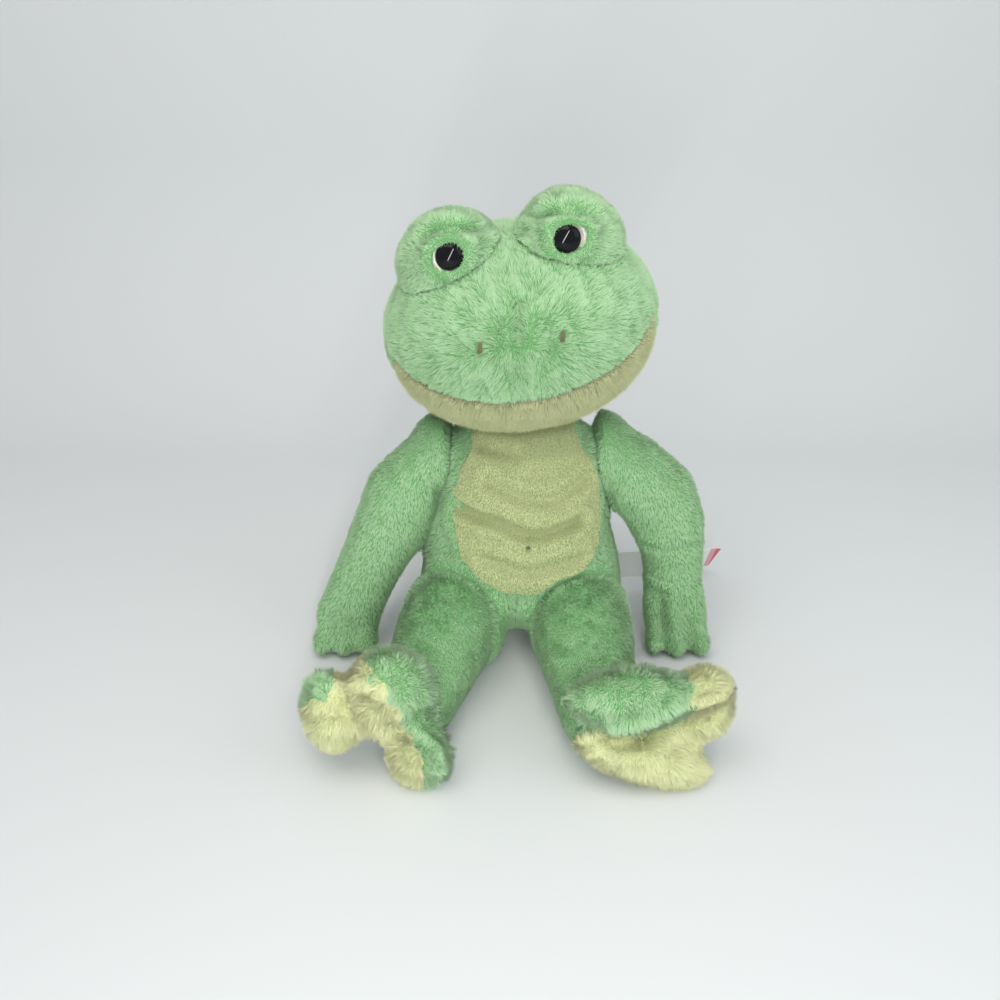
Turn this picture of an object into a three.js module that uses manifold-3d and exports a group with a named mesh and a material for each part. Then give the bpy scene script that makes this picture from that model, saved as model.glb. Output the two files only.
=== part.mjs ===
// A sitting plush frog: stuffed forms that swell and taper, sewn together at the neck, shoulders,
// hips and ankles. Millimetres, +Z up. The frog faces -Y, and left and right are its own, so its
// left side is +X. The origin is the middle of the torso's base, on the seat.
import * as THREE from 'three';
import { mergeVertices } from 'three/addons/utils/BufferGeometryUtils.js';
import Module from 'manifold-3d';

const wasm = await Module();
wasm.setup();

// Clearances
const seamGap = 0.3; // between two pieces sewn face to face
const turnGap = 1; // between two forms that turn against each other
const seatCut = 0.5; // how deep the seat presses a resting form flat
const overrun = 5; // how far a cut reaches past what it cuts

// Torso: a pear of pile fabric with a flat base
const torsoHeight = 174;
const torsoHalfWidth = 77;
const torsoFront = 57;
const torsoBack = 55;
const torsoSquareness = 2.2;
const torsoSides = 22;
// Height, half width, front and back of each level
const torsoShares = [
  [0.0, 0.84, 0.2, 0.84],
  [0.04, 0.94, 0.36, 0.94],
  [0.12, 1.0, 0.62, 1.0],
  [0.24, 0.99, 0.93, 1.0],
  [0.38, 0.93, 1.0, 0.97],
  [0.52, 0.83, 0.94, 0.91],
  [0.65, 0.75, 0.86, 0.82],
  [0.78, 0.72, 0.78, 0.72],
  [0.88, 0.68, 0.68, 0.62],
  [0.95, 0.54, 0.54, 0.48],
  [1.0, 0.3, 0.32, 0.28],
];

// Neck, where the stuffing of the torso fills out the base of the head
const neckSink = 10; // how far the middle of the neck lies below the top of the torso
const neckBack = 4;
const neckRadius = 29;
const nodDown = 12; // degrees
const nodUp = 20; // degrees

// Pellet bag in the seat, and the closing seam through which it went in
const bagHalfWidth = 48;
const bagHalfDepth = 33;
const bagHalfHeight = 23;
const bagHeight = 34;
const bagClearance = 0.4;
const closingSeamWidth = 36;
const closingSeamOpening = 1.2;

// Belly panel, let into the front of the torso
const panelThickness = 3;
const panelTop = 170;
const panelShift = 3;
const panelWrap = 14; // how far in front of the torso's middle the panel's edges stop
const panelBottom = 60;
const panelHalfWidth = 50;
const panelTurn = 3; // degrees
// Height and half width of the panel's outline
const panelShares = [
  [0.0, 0.0],
  [0.02, 0.34],
  [0.09, 0.66],
  [0.22, 0.93],
  [0.36, 1.0],
  [0.5, 0.99],
  [0.62, 0.96],
  [0.76, 0.88],
  [0.88, 0.72],
  [1.0, 0.66],
];
const navelRadius = 2.2;
const navelHeight = 96;

// Label, sewn into the seam at the frog's left hip and lying out behind the arm
const labelReach = 166;
const labelHeight = 31;
const labelThickness = 1;
const labelRise = 19;
const labelTurn = 16; // degrees, backward
const labelDroop = 8; // degrees
const labelRootShare = 0.46; // of the torso's back

// Head
const headRise = 61; // from the top of the torso to the middle of the head
const headShift = -3;
const headRoll = 8.5; // degrees, the frog's left side up
const headHalfWidth = 89;
const headUp = 62;
const headDown = 65;
const chinSquareness = 2.7; // how full the head is below its middle, seen from the side
const cheekSquareness = 2.15; // and seen from the front
const browSquareness = 1.75; // how full the forehead is, seen from the side
const snoutReach = 82;
const napeReach = 60;
const headSquareness = 2.25;
const headSides = 26;
const headRings = 12;

// Mouth seam, an arc from corner to corner, and the jaw panel below it
const mouthHalfWidth = 80;
const mouthDepth = 36;
const mouthCornerRise = 5;
const mouthCornerReach = 36; // how far the corners lie in front of the head's middle
const jawBackReach = 4; // how far the jaw's back edge lies in front of it, at the neck
const jawSetBack = 3; // how far the upper lip stands out over the jaw
const mouthSteps = 14;

// Eye mounds
const moundHalfWidth = 35;
const moundHalfDepth = 32;
const moundHalfHeight = 31.5;
const moundOut = 35.5;
const moundForward = 25;
const moundRise = 45.5;
const moundTurn = 13; // degrees, the inner end up

// Eyes: a cream disc on a ribbed shank, a black dome, and the washer that locks the shank
const eyeRadius = 12;
const eyeThickness = 2.6;
const eyeOut = 35.5;
const eyeRise = 51.5;
const eyeSink = 4.2; // how far the disc sits into the pile
const pupilRadius = 9;
const pupilDome = 4.2;
const shankRadius = 3;
const shankLength = 13;
const washerRadius = 8;
const washerThickness = 1.4;
const washerDepth = 6;
const eyeSegments = 20;

// Nostrils: short embroidered stitches
const nostrilOut = 23.4;
const nostrilRise = 5;
const nostrilLength = 6;
const nostrilWidth = 2.6;

// Arms, each ending in a hand of three fingers
const shoulderOut = 52;
const shoulderForward = -2;
const shoulderHeight = 143;
const shoulderSeamOut = 49; // the flat seam between arm and torso, square to the hinge
const shoulderRadius = 28;
const shoulderSides = 28;
const armHalfWidth = 31;
const armSides = 12;
const armSteps = 7;
const fingerLength = 16;
const fingerSpread = 1.35; // finger to finger, in half widths
const fingerReach = 0.7; // how far in front of the palm a finger's middle lies
const fingerHalfWidth = 11;
const fingerTurn = 16; // degrees by which the outer fingers point away from the middle one
// From the shoulder to the palm: out, forward, up, half width and half depth, as shares of armHalfWidth
const armLeftShares = [
  [1.75, 0.0, 4.6, 0.76, 0.8],
  [2.38, 0.05, 4.15, 0.9, 0.92],
  [3.08, 0.13, 3.5, 0.98, 0.95],
  [3.36, 0.26, 2.85, 0.9, 0.88],
  [3.5, 0.42, 2.2, 0.76, 0.76],
  [3.52, 0.56, 1.6, 0.72, 0.72],
  [3.56, 0.76, 1.1, 0.78, 0.7],
  [3.62, 0.9, 0.68, 0.82, 0.6],
];
const armRightShares = [
  [1.75, 0.0, 4.55, 0.74, 0.8],
  [2.15, 0.05, 4.15, 0.86, 0.9],
  [2.68, 0.1, 3.55, 0.96, 0.95],
  [3.02, 0.22, 2.8, 0.91, 0.9],
  [3.36, 0.36, 2.2, 0.82, 0.82],
  [3.66, 0.52, 1.6, 0.78, 0.75],
  [3.92, 0.74, 1.08, 0.78, 0.7],
  [4.08, 0.9, 0.66, 0.82, 0.6],
];

// Legs
const hipOut = 42;
const hipShift = -3; // the legs lie a little to the right
const hipForward = 38;
const hipHeight = 26;
const hipRadius = 37;
const hipHalfWidth = 36;
const hipSquareness = 2.8;
const hipSides = 14;
const legDrop = 90; // degrees from sitting to hanging straight
const thighHalfWidth = 37;
const thighHalfHeight = 37;
const ankleHalfWidth = 25;
const ankleHalfHeight = 24;
const legLength = 100;
const legSides = 16;
const legSteps = 6;
const legLeftTurn = 3; // degrees outward
const legRightTurn = 14; // degrees outward
// Along the leg: reach and how much of the swelling from ankle to thigh is left
const legShares = [
  [0.0, 1.0],
  [0.25, 0.96],
  [0.5, 0.72],
  [0.75, 0.32],
  [0.92, 0.06],
  [1.0, 0.0],
];

// Feet: three toes that spread from the instep
const footFlex = 30; // degrees, each way
const ankleTaper = 19; // degrees by which the leg widens behind the ankle
const toeHalfWidth = 20;
const toeHalfThickness = 20;
const toeHalfLength = 30;
const toeSides = 12;
const toeRings = 8;

// Colours of the pile, thread and plastic
const pileGreen = 0x86bd84;
const pileBelly = 0xaebd85;
const pileJaw = 0xb3ba8c;
const pileSole = 0xc9ce7f;
const creamPlastic = 0xe6e3d6;
const blackPlastic = 0x0b0c12;
const whitePlastic = 0xdedede;
const threadBrown = 0x8a7650;
const threadDark = 0x5f6a45;
const bagCloth = 0xd8d4c8;
const labelCloth = 0xf0eeee;

const degrees = THREE.MathUtils.DEG2RAD;
const axisX = new THREE.Vector3(1, 0, 0);
const axisY = new THREE.Vector3(0, 1, 0);
const axisZ = new THREE.Vector3(0, 0, 1);
const sides = { left: 1, right: -1 };

// Solids and meshes

function solidOf(geometry) {
  const bare = geometry.clone();
  bare.deleteAttribute('normal');
  bare.deleteAttribute('uv');
  const merged = mergeVertices(bare);
  return new wasm.Manifold(new wasm.Mesh({
    numProp: 3,
    vertProperties: merged.attributes.position.array,
    triVerts: new Uint32Array(merged.index.array),
  }));
}

function geometryOf(solid) {
  const mesh = solid.getMesh();
  const geometry = new THREE.BufferGeometry();
  geometry.setAttribute('position', new THREE.BufferAttribute(mesh.vertProperties, mesh.numProp));
  geometry.setIndex(new THREE.BufferAttribute(mesh.triVerts, 1));
  return geometry;
}

function placed(solid, matrix) {
  return solidOf(geometryOf(solid).applyMatrix4(matrix));
}

// What is left of a form after a cut is its largest body
function largest(solid) {
  const bodies = solid.decompose();
  return bodies.reduce((best, body) => (body.volume() > best.volume() ? body : best));
}

function turned(angle, axis, pivot) {
  return new THREE.Matrix4().makeTranslation(pivot)
    .multiply(new THREE.Matrix4().makeRotationAxis(axis, angle * degrees))
    .multiply(new THREE.Matrix4().makeTranslation(pivot.clone().negate()));
}

// A closed skin over rings of points, with a pole at each end
function skin(rings, firstPole, lastPole) {
  const count = rings[0].length;
  const points = [firstPole, ...rings.flat(), lastPole];
  const last = points.length - 1;
  const faces = [];
  const corner = (ring, side) => 1 + ring * count + (side % count);
  for (let side = 0; side < count; side += 1) {
    faces.push(0, corner(0, side + 1), corner(0, side));
    for (let ring = 0; ring < rings.length - 1; ring += 1) {
      faces.push(corner(ring, side), corner(ring, side + 1), corner(ring + 1, side + 1));
      faces.push(corner(ring, side), corner(ring + 1, side + 1), corner(ring + 1, side));
    }
    faces.push(last, corner(rings.length - 1, side), corner(rings.length - 1, side + 1));
  }
  const geometry = new THREE.BufferGeometry().setFromPoints(points);
  geometry.setIndex(faces);
  return geometry;
}

function power(value, exponent) {
  return Math.sign(value) * Math.abs(value) ** exponent;
}

// One level of a stacked form: a rounded oval with its own front and back reach
function levelRing(level, squareness, count) {
  const ring = [];
  for (let side = 0; side < count; side += 1) {
    const angle = (side / count) * 2 * Math.PI;
    const across = power(Math.cos(angle), 2 / squareness);
    const along = power(Math.sin(angle), 2 / squareness);
    const reach = along < 0 ? level.front : level.back;
    ring.push(new THREE.Vector3(across * level.halfWidth, along * reach, level.height));
  }
  return ring;
}

function stackedForm(levels, squareness, count) {
  const rings = levels.map((level) => levelRing(level, squareness, count));
  const low = new THREE.Vector3(0, 0, levels[0].height);
  const high = new THREE.Vector3(0, 0, levels[levels.length - 1].height);
  return solidOf(skin(rings, low, high));
}

// A ball with three half sizes, turned and placed
function roundForm(middle, halves, turn = [0, 0, 0], widthSegments = 14, heightSegments = 10) {
  const geometry = new THREE.SphereGeometry(1, widthSegments, heightSegments);
  geometry.rotateX(Math.PI / 2);
  geometry.scale(...halves);
  geometry.applyMatrix4(new THREE.Matrix4().makeRotationFromEuler(
    new THREE.Euler(...turn.map((angle) => angle * degrees)),
  ));
  geometry.translate(middle.x, middle.y, middle.z);
  return solidOf(geometry);
}

// A limb: ovals along a smooth line, with a round cap at each end
function limbForm(stations, count, steps, sideways) {
  const line = new THREE.CatmullRomCurve3(stations.map((station) => station.at));
  const sizes = new THREE.CatmullRomCurve3(
    stations.map((station) => new THREE.Vector3(station.halfWidth, station.halfDepth, 0)),
  );
  const rings = [];
  const capAngles = [55, 25];
  const ringAt = (share, capAngle, way) => {
    const middle = line.getPoint(share);
    const along = line.getTangent(share);
    const size = sizes.getPoint(share);
    const depthAxis = along.clone().cross(sideways).normalize();
    const widthAxis = depthAxis.clone().cross(along).normalize();
    const narrow = Math.cos(capAngle * degrees);
    middle.addScaledVector(along, way * Math.sin(capAngle * degrees) * size.y);
    const ring = [];
    for (let side = 0; side < count; side += 1) {
      const angle = (side / count) * 2 * Math.PI;
      ring.push(middle.clone()
        .addScaledVector(widthAxis, Math.cos(angle) * size.x * narrow)
        .addScaledVector(depthAxis, Math.sin(angle) * size.y * narrow));
    }
    return ring;
  };
  const pole = (share, way) => line.getPoint(share)
    .addScaledVector(line.getTangent(share), way * sizes.getPoint(share).y);
  capAngles.forEach((angle) => rings.push(ringAt(0, angle, -1)));
  for (let step = 0; step <= steps; step += 1) {
    rings.push(ringAt(step / steps, 0, 0));
  }
  [...capAngles].reverse().forEach((angle) => rings.push(ringAt(1, angle, 1)));
  const solid = solidOf(skin(rings, pole(0, -1), pole(1, 1)));
  return solid;
}

function block(low, high) {
  const size = high.clone().sub(low);
  const geometry = new THREE.BoxGeometry(size.x, size.y, size.z);
  geometry.translate(...low.clone().add(high).multiplyScalar(0.5).toArray());
  return solidOf(geometry);
}

function revolved(profile, segments) {
  const points = profile.map(([radius, height]) => new THREE.Vector2(radius, height));
  return solidOf(new THREE.LatheGeometry(points, segments));
}

// The seat's plane presses each resting form flat
function pressed(solid) {
  const size = torsoHeight * 3;
  return solid.subtract(block(
    new THREE.Vector3(-size, -size, -size),
    new THREE.Vector3(size, size, 0),
  ));
}

// Torso

function torsoLevels(grow) {
  return torsoShares.map(([height, width, front, back], index) => ({
    height: height * torsoHeight - seatCut
      + (index === 0 ? -grow : 0) + (index === torsoShares.length - 1 ? grow : 0),
    halfWidth: width * torsoHalfWidth + grow,
    front: front * torsoFront + grow,
    back: back * torsoBack + grow,
  }));
}

const neckPivot = new THREE.Vector3(0, neckBack, torsoHeight - neckSink);
const shoulderPivot = (side) => new THREE.Vector3(side * shoulderOut, -shoulderForward, shoulderHeight);
const hipPivot = (side) => new THREE.Vector3(side * hipOut + hipShift, -hipForward, hipHeight);

function ballAt(middle, radius) {
  return roundForm(middle, [radius, radius, radius], [0, 0, 0], 14, 8);
}

// A form of revolution about a hinge that runs along X. The profile is (radius, distance along X)
function aboutHinge(profile, pivot, segments) {
  const place = new THREE.Matrix4().makeTranslation(pivot)
    .multiply(new THREE.Matrix4().makeRotationAxis(axisZ, -Math.PI / 2));
  return placed(revolved(profile, segments), place);
}

// The filled root of a leg: round about the hinge, so the leg clears it at every angle
function hipForm(side, grow) {
  const profile = [];
  const steps = 6;
  for (let step = 0; step <= steps; step += 1) {
    const angle = Math.PI * (step / steps - 0.5);
    profile.push([
      (hipRadius + grow) * power(Math.cos(angle), 2 / hipSquareness),
      (hipHalfWidth + grow) * power(Math.sin(angle), 2 / hipSquareness),
    ]);
  }
  return aboutHinge(profile, hipPivot(side), hipSides);
}

// The round root of an arm, from its flat seam outward. A socket is the same form grown by a gap
function shoulderRoot(side, grow) {
  const radius = shoulderRadius + grow;
  const seam = shoulderSeamOut + turnGap - grow - shoulderOut;
  const profile = [[0, seam], [radius, seam]];
  const steps = 6;
  for (let step = 0; step <= steps; step += 1) {
    const angle = (Math.PI / 2) * (step / steps);
    profile.push([step === steps ? 0 : radius * Math.cos(angle), radius * Math.sin(angle)]);
  }
  const mirrored = side > 0 ? profile : profile.map(([away, along]) => [away, -along]).reverse();
  return aboutHinge(mirrored, shoulderPivot(side), shoulderSides);
}

function torsoForm(grow) {
  let form = stackedForm(torsoLevels(grow), torsoSquareness, torsoSides);
  form = form.add(ballAt(neckPivot, neckRadius + grow));
  Object.values(sides).forEach((side) => {
    form = form.add(hipForm(side, grow));
    form = form.subtract(shoulderRoot(side, turnGap - grow));
  });
  return form;
}

function bagForm(grow) {
  return roundForm(
    new THREE.Vector3(0, 0, bagHeight),
    [bagHalfWidth + grow, bagHalfDepth + grow, bagHalfHeight + grow],
  );
}

function torso() {
  const closingSeam = block(
    new THREE.Vector3(-closingSeamWidth / 2, bagHalfDepth / 2, bagHeight - closingSeamOpening / 2),
    new THREE.Vector3(closingSeamWidth / 2, torsoBack + overrun, bagHeight + closingSeamOpening / 2),
  );
  return pressed(torsoForm(0)).subtract(bagForm(bagClearance)).subtract(closingSeam);
}

// Takes from a form all that another would reach, were the form turned about a hinge by each angle
function clearedOf(form, other, pivot, angles) {
  return angles.reduce(
    (left, angle) => left.subtract(placed(other, turned(-angle, axisX, pivot))),
    form,
  );
}

const torsoSeamCut = torsoForm(seamGap);
const torsoTurnCut = torsoForm(turnGap);

// The panel's outline, which is extruded through the torso's front
function bellyPanel() {
  const height = panelTop - panelBottom;
  const right = panelShares.map(([rise, width]) => new THREE.Vector2(
    width * panelHalfWidth,
    panelBottom + rise * height,
  ));
  const left = right.slice(1).reverse().map((point) => new THREE.Vector2(-point.x, point.y));
  const outline = new THREE.Shape([...right, ...left]);
  const depth = torsoFront + panelThickness + overrun - panelWrap;
  const slab = new THREE.ExtrudeGeometry(outline, { depth, bevelEnabled: false });
  slab.rotateX(Math.PI / 2);
  slab.translate(0, -panelWrap, 0);
  const middle = new THREE.Vector3(0, 0, (panelTop + panelBottom) / 2);
  slab.applyMatrix4(turned(-panelTurn, axisY, middle));
  slab.translate(panelShift, 0, 0);
  const outer = stackedForm(torsoLevels(panelThickness + seamGap), torsoSquareness, torsoSides);
  const layer = solidOf(slab).intersect(outer).subtract(torsoSeamCut);
  return largest(Object.values(sides).reduce(
    (left, side) => left.subtract(legForm(side, turnGap)).subtract(shoulderRoot(side, turnGap)),
    layer,
  ));
}

// How far the torso's front reaches at a height, by its own levels
function torsoFrontAt(height, grow) {
  const levels = torsoLevels(grow);
  const above = levels.findIndex((level) => level.height > height);
  const [low, high] = [levels[above - 1], levels[above]];
  const share = (height - low.height) / (high.height - low.height);
  return low.front + (high.front - low.front) * share;
}

function navelStitch() {
  const reach = torsoFrontAt(navelHeight, panelThickness + seamGap);
  const middle = new THREE.Vector3(panelShift, -reach, navelHeight);
  const knot = roundForm(middle, [navelRadius * 1.3, navelRadius, navelRadius], [0, 0, 0], 8, 6);
  const under = stackedForm(torsoLevels(panelThickness + 2 * seamGap), torsoSquareness, torsoSides);
  return largest(knot.subtract(under));
}

function label() {
  const root = new THREE.Vector3(torsoHalfWidth / 2, torsoBack * labelRootShare, labelRise);
  const strip = block(
    new THREE.Vector3(0, root.y, root.z),
    new THREE.Vector3(labelReach, root.y + labelThickness, root.z + labelHeight),
  );
  const drooped = placed(strip, turned(labelDroop, axisY, root));
  return largest(placed(drooped, turned(labelTurn, axisZ, root)).subtract(torsoSeamCut));
}

// Head. Its pieces are built round its own middle and rolled into place together

const headMiddle = new THREE.Vector3(headShift, 0, torsoHeight + headRise);

function inHead(solid) {
  const place = new THREE.Matrix4().makeTranslation(headMiddle)
    .multiply(new THREE.Matrix4().makeRotationAxis(axisY, -headRoll * degrees));
  return placed(solid, place);
}

function headForm(grow, setBack = 0) {
  const levels = [];
  for (let ring = 0; ring <= headRings; ring += 1) {
    const angle = (-84 + (168 * ring) / headRings) * degrees;
    const rise = Math.sin(angle);
    const swellBy = (squareness) => (1 - Math.abs(rise) ** squareness) ** (1 / squareness);
    const wide = swellBy(rise < 0 ? cheekSquareness : 2);
    const deep = swellBy(rise < 0 ? chinSquareness : browSquareness);
    levels.push({
      height: rise * ((rise < 0 ? headDown : headUp) + grow),
      halfWidth: wide * (headHalfWidth + grow - setBack / 2),
      front: deep * (snoutReach + grow - setBack),
      back: wide * (napeReach + grow),
    });
  }
  return stackedForm(levels, headSquareness, headSides);
}

// The space below the mouth seam and in front of the jaw's back edge
function jawSpace(grow) {
  const wide = headHalfWidth + overrun;
  const deep = headDown + overrun;
  const outline = [new THREE.Vector2(-wide, mouthCornerRise + grow)];
  for (let step = 0; step <= mouthSteps; step += 1) {
    const angle = Math.PI * (1 + step / mouthSteps);
    outline.push(new THREE.Vector2(
      Math.cos(angle) * mouthHalfWidth,
      Math.sin(angle) * mouthDepth + mouthCornerRise + grow,
    ));
  }
  outline.push(new THREE.Vector2(wide, mouthCornerRise + grow));
  outline.push(new THREE.Vector2(wide, -deep), new THREE.Vector2(-wide, -deep));
  const depth = snoutReach + overrun;
  const below = new THREE.ExtrudeGeometry(new THREE.Shape(outline), { depth, bevelEnabled: false });
  below.rotateX(Math.PI / 2);
  const front = new THREE.Shape([
    new THREE.Vector2(-depth, 2 * overrun),
    new THREE.Vector2(-mouthCornerReach + grow, 2 * overrun),
    new THREE.Vector2(-mouthCornerReach + grow, 0),
    new THREE.Vector2(-jawBackReach + grow, -headDown),
    new THREE.Vector2(-jawBackReach + grow, -deep),
    new THREE.Vector2(-depth, -deep),
  ]);
  const side = new THREE.ExtrudeGeometry(front, { depth: 2 * wide, bevelEnabled: false });
  side.applyMatrix4(new THREE.Matrix4().makeBasis(axisY, axisZ, axisX));
  side.translate(-wide, 0, 0);
  return solidOf(below).intersect(solidOf(side));
}

function moundForm(side, grow) {
  return roundForm(
    new THREE.Vector3(side * moundOut, -moundForward, moundRise),
    [moundHalfWidth + grow, moundHalfDepth + grow, moundHalfHeight + grow],
    [0, side * moundTurn, 0],
    16,
    8,
  );
}

// Where the disc's back lies, in front of the head's middle
function eyeSeat() {
  const across = (eyeOut - moundOut) / moundHalfWidth;
  const up = (eyeRise - moundRise) / moundHalfHeight;
  return moundForward + moundHalfDepth * Math.sqrt(1 - across ** 2 - up ** 2) - eyeSink;
}

// Turns a lathe's +Y towards the front of the head, at the eye
function atEye(solid, side) {
  const place = new THREE.Matrix4().makeTranslation(side * eyeOut, -eyeSeat(), eyeRise)
    .multiply(new THREE.Matrix4().makeRotationAxis(axisZ, Math.PI));
  return inHead(placed(solid, place));
}

function eyeHollow(side) {
  const shankBore = shankRadius + seamGap;
  const washerSpace = washerRadius + seamGap;
  const low = -washerDepth - washerThickness - seamGap;
  const high = -washerDepth + seamGap;
  return atEye(revolved([
    [0, -shankLength - seamGap],
    [shankBore, -shankLength - seamGap],
    [shankBore, low],
    [washerSpace, low],
    [washerSpace, high],
    [shankBore, high],
    [shankBore, -seamGap],
    [eyeRadius + seamGap, -seamGap],
    [eyeRadius + seamGap, moundHalfDepth],
    [0, moundHalfDepth],
  ], eyeSegments), side);
}

function eyeMound(side) {
  const mound = moundForm(side, 0).subtract(headForm(seamGap));
  const middle = block(
    new THREE.Vector3(-seamGap / 2, -snoutReach, 0),
    new THREE.Vector3(seamGap / 2, napeReach, headUp * 2),
  );
  return largest(inHead(mound.subtract(middle)).subtract(eyeHollow(side)));
}

// The disc has a low rim round the recess that the pupil snaps into
function eye(side) {
  const recess = pupilRadius + seamGap;
  return atEye(revolved([
    [0, -shankLength],
    [shankRadius * 0.6, -shankLength],
    [shankRadius, -shankLength + shankRadius],
    [shankRadius, 0],
    [eyeRadius, 0],
    [eyeRadius, eyeThickness * 0.4],
    [eyeRadius * 0.95, eyeThickness * 0.85],
    [recess, eyeThickness],
    [recess, eyeThickness * 0.45],
    [0, eyeThickness * 0.45],
  ], eyeSegments), side);
}

function pupil(side) {
  const base = eyeThickness * 0.45 + seamGap;
  const profile = [[0, base], [pupilRadius, base]];
  const steps = 7;
  for (let step = 0; step < steps; step += 1) {
    const angle = ((step / steps) * Math.PI) / 2;
    profile.push([pupilRadius * Math.cos(angle), eyeThickness * 0.9 + pupilDome * Math.sin(angle)]);
  }
  profile.push([0, eyeThickness * 0.9 + pupilDome]);
  return atEye(revolved(profile, eyeSegments), side);
}

function eyeWasher(side) {
  const inner = shankRadius + seamGap;
  return atEye(revolved([
    [inner, -washerDepth - washerThickness],
    [washerRadius, -washerDepth - washerThickness],
    [washerRadius, -washerDepth],
    [inner, -washerDepth],
    [inner, -washerDepth - washerThickness],
  ], eyeSegments), side);
}

function nostril(side) {
  const across = (nostrilOut / headHalfWidth) ** headSquareness;
  const up = (nostrilRise / headUp) ** browSquareness;
  const swell = (1 - up) ** (1 / browSquareness);
  const front = snoutReach * (swell ** headSquareness - across) ** (1 / headSquareness);
  const stitch = roundForm(
    new THREE.Vector3(side * nostrilOut, -front, nostrilRise),
    [nostrilWidth / 2, nostrilWidth, nostrilLength / 2],
    [0, side * moundTurn, 0],
    8,
    6,
  );
  return largest(inHead(stitch.subtract(headForm(seamGap))));
}

const mounds = { left: moundForm(sides.left, seamGap), right: moundForm(sides.right, seamGap) };

// The nod takes the head over the belly panel in front and over the torso's back behind
function clearOfNeck(form) {
  const chest = stackedForm(torsoLevels(panelThickness + turnGap), torsoSquareness, torsoSides);
  const front = clearedOf(form.subtract(torsoTurnCut), chest, neckPivot, [nodDown / 2, nodDown]);
  const back = stackedForm(torsoLevels(turnGap), torsoSquareness, torsoSides);
  return largest(clearedOf(front, back, neckPivot, [-nodUp]));
}

function head() {
  const shell = headForm(0).subtract(jawSpace(seamGap));
  return clearOfNeck(inHead(shell).subtract(eyeHollow(sides.left)).subtract(eyeHollow(sides.right)));
}

function jaw() {
  return clearOfNeck(inHead(headForm(0, jawSetBack).intersect(jawSpace(0))));
}

// Arms. The line runs from the shoulder to the palm, and the fingers go on from there

function armLine(side) {
  const shares = side > 0 ? armLeftShares : armRightShares;
  return shares.map(([out, forward, up, width, depth]) => ({
    at: new THREE.Vector3(side * out, -forward, up).multiplyScalar(armHalfWidth),
    halfWidth: width * armHalfWidth,
    halfDepth: depth * armHalfWidth,
  }));
}

function finger(palm, spread) {
  return roundForm(
    new THREE.Vector3(
      palm.x + spread * fingerHalfWidth * fingerSpread,
      palm.y - fingerLength * fingerReach,
      fingerHalfWidth - seatCut,
    ),
    [fingerHalfWidth, fingerLength, fingerHalfWidth],
    [0, 0, spread * fingerTurn],
    8,
    6,
  );
}

// What an arm must clear at every angle: the seam's flat, and the torso's side below the shoulder
function shoulderSpace(side) {
  const seam = shoulderSeamOut + turnGap - shoulderOut;
  const levels = torsoLevels(turnGap).filter((level) => level.height < shoulderHeight - shoulderRadius);
  const widest = Math.max(...levels.map((level) => level.halfWidth));
  const profile = [[0, -shoulderOut]];
  profile.push([shoulderHeight + overrun, -shoulderOut]);
  profile.push([shoulderHeight + overrun, widest - shoulderOut]);
  levels.forEach((level) => {
    profile.push([shoulderHeight - level.height, level.halfWidth - shoulderOut]);
  });
  profile.push([shoulderRadius, levels[levels.length - 1].halfWidth - shoulderOut]);
  profile.push([shoulderRadius, seam], [0, seam]);
  const mirrored = side > 0 ? profile : profile.map(([radius, along]) => [radius, -along]).reverse();
  return aboutHinge(mirrored, shoulderPivot(side), shoulderSides);
}

function arm(side) {
  const stations = armLine(side);
  const palm = stations[stations.length - 1].at;
  let form = limbForm(stations, armSides, armSteps, axisX).add(shoulderRoot(side, 0));
  [-1, 0, 1].forEach((spread) => {
    form = form.add(finger(palm, spread));
  });
  return largest(pressed(form.subtract(shoulderSpace(side))));
}

// Legs. Each runs forward from the hip along the seat, and narrows to the ankle

function legLine(side, grow = 0) {
  const hip = hipPivot(side);
  const turn = (side > 0 ? legLeftTurn : legRightTurn) * side * degrees;
  return legShares.map(([reach, swelling]) => {
    const halfWidth = ankleHalfWidth + swelling * (thighHalfWidth - ankleHalfWidth);
    const halfHeight = ankleHalfHeight + swelling * (thighHalfHeight - ankleHalfHeight);
    return {
      at: new THREE.Vector3(
        hip.x + Math.sin(turn) * reach * legLength,
        hip.y - Math.cos(turn) * reach * legLength,
        halfHeight - seatCut,
      ),
      halfWidth: halfWidth + grow,
      halfDepth: halfHeight + grow,
    };
  });
}

function anklePivot(side) {
  const stations = legLine(side);
  return stations[stations.length - 1].at;
}

function legForm(side, grow) {
  return limbForm(legLine(side, grow), legSides, legSteps, axisX);
}

function leg(side) {
  const form = legForm(side, 0);
  const middle = block(
    new THREE.Vector3(Math.min(0, -side * torsoHalfWidth * 2), -legLength * 3, -overrun),
    new THREE.Vector3(Math.max(0, -side * torsoHalfWidth * 2), legLength * 3, torsoHeight),
  );
  const apart = placed(middle, new THREE.Matrix4().makeTranslation(side * turnGap + hipShift, 0, 0));
  const seat = stackedForm(torsoLevels(turnGap), torsoSquareness, torsoSides);
  const angles = [legDrop / 3, legDrop * (2 / 3), legDrop];
  const cleared = clearedOf(form.subtract(torsoTurnCut), seat, hipPivot(side), angles);
  return largest(pressed(cleared.subtract(apart)));
}

// Feet. Middles are offsets from the ankle in toe lengths, and halves are toe sizes

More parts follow.
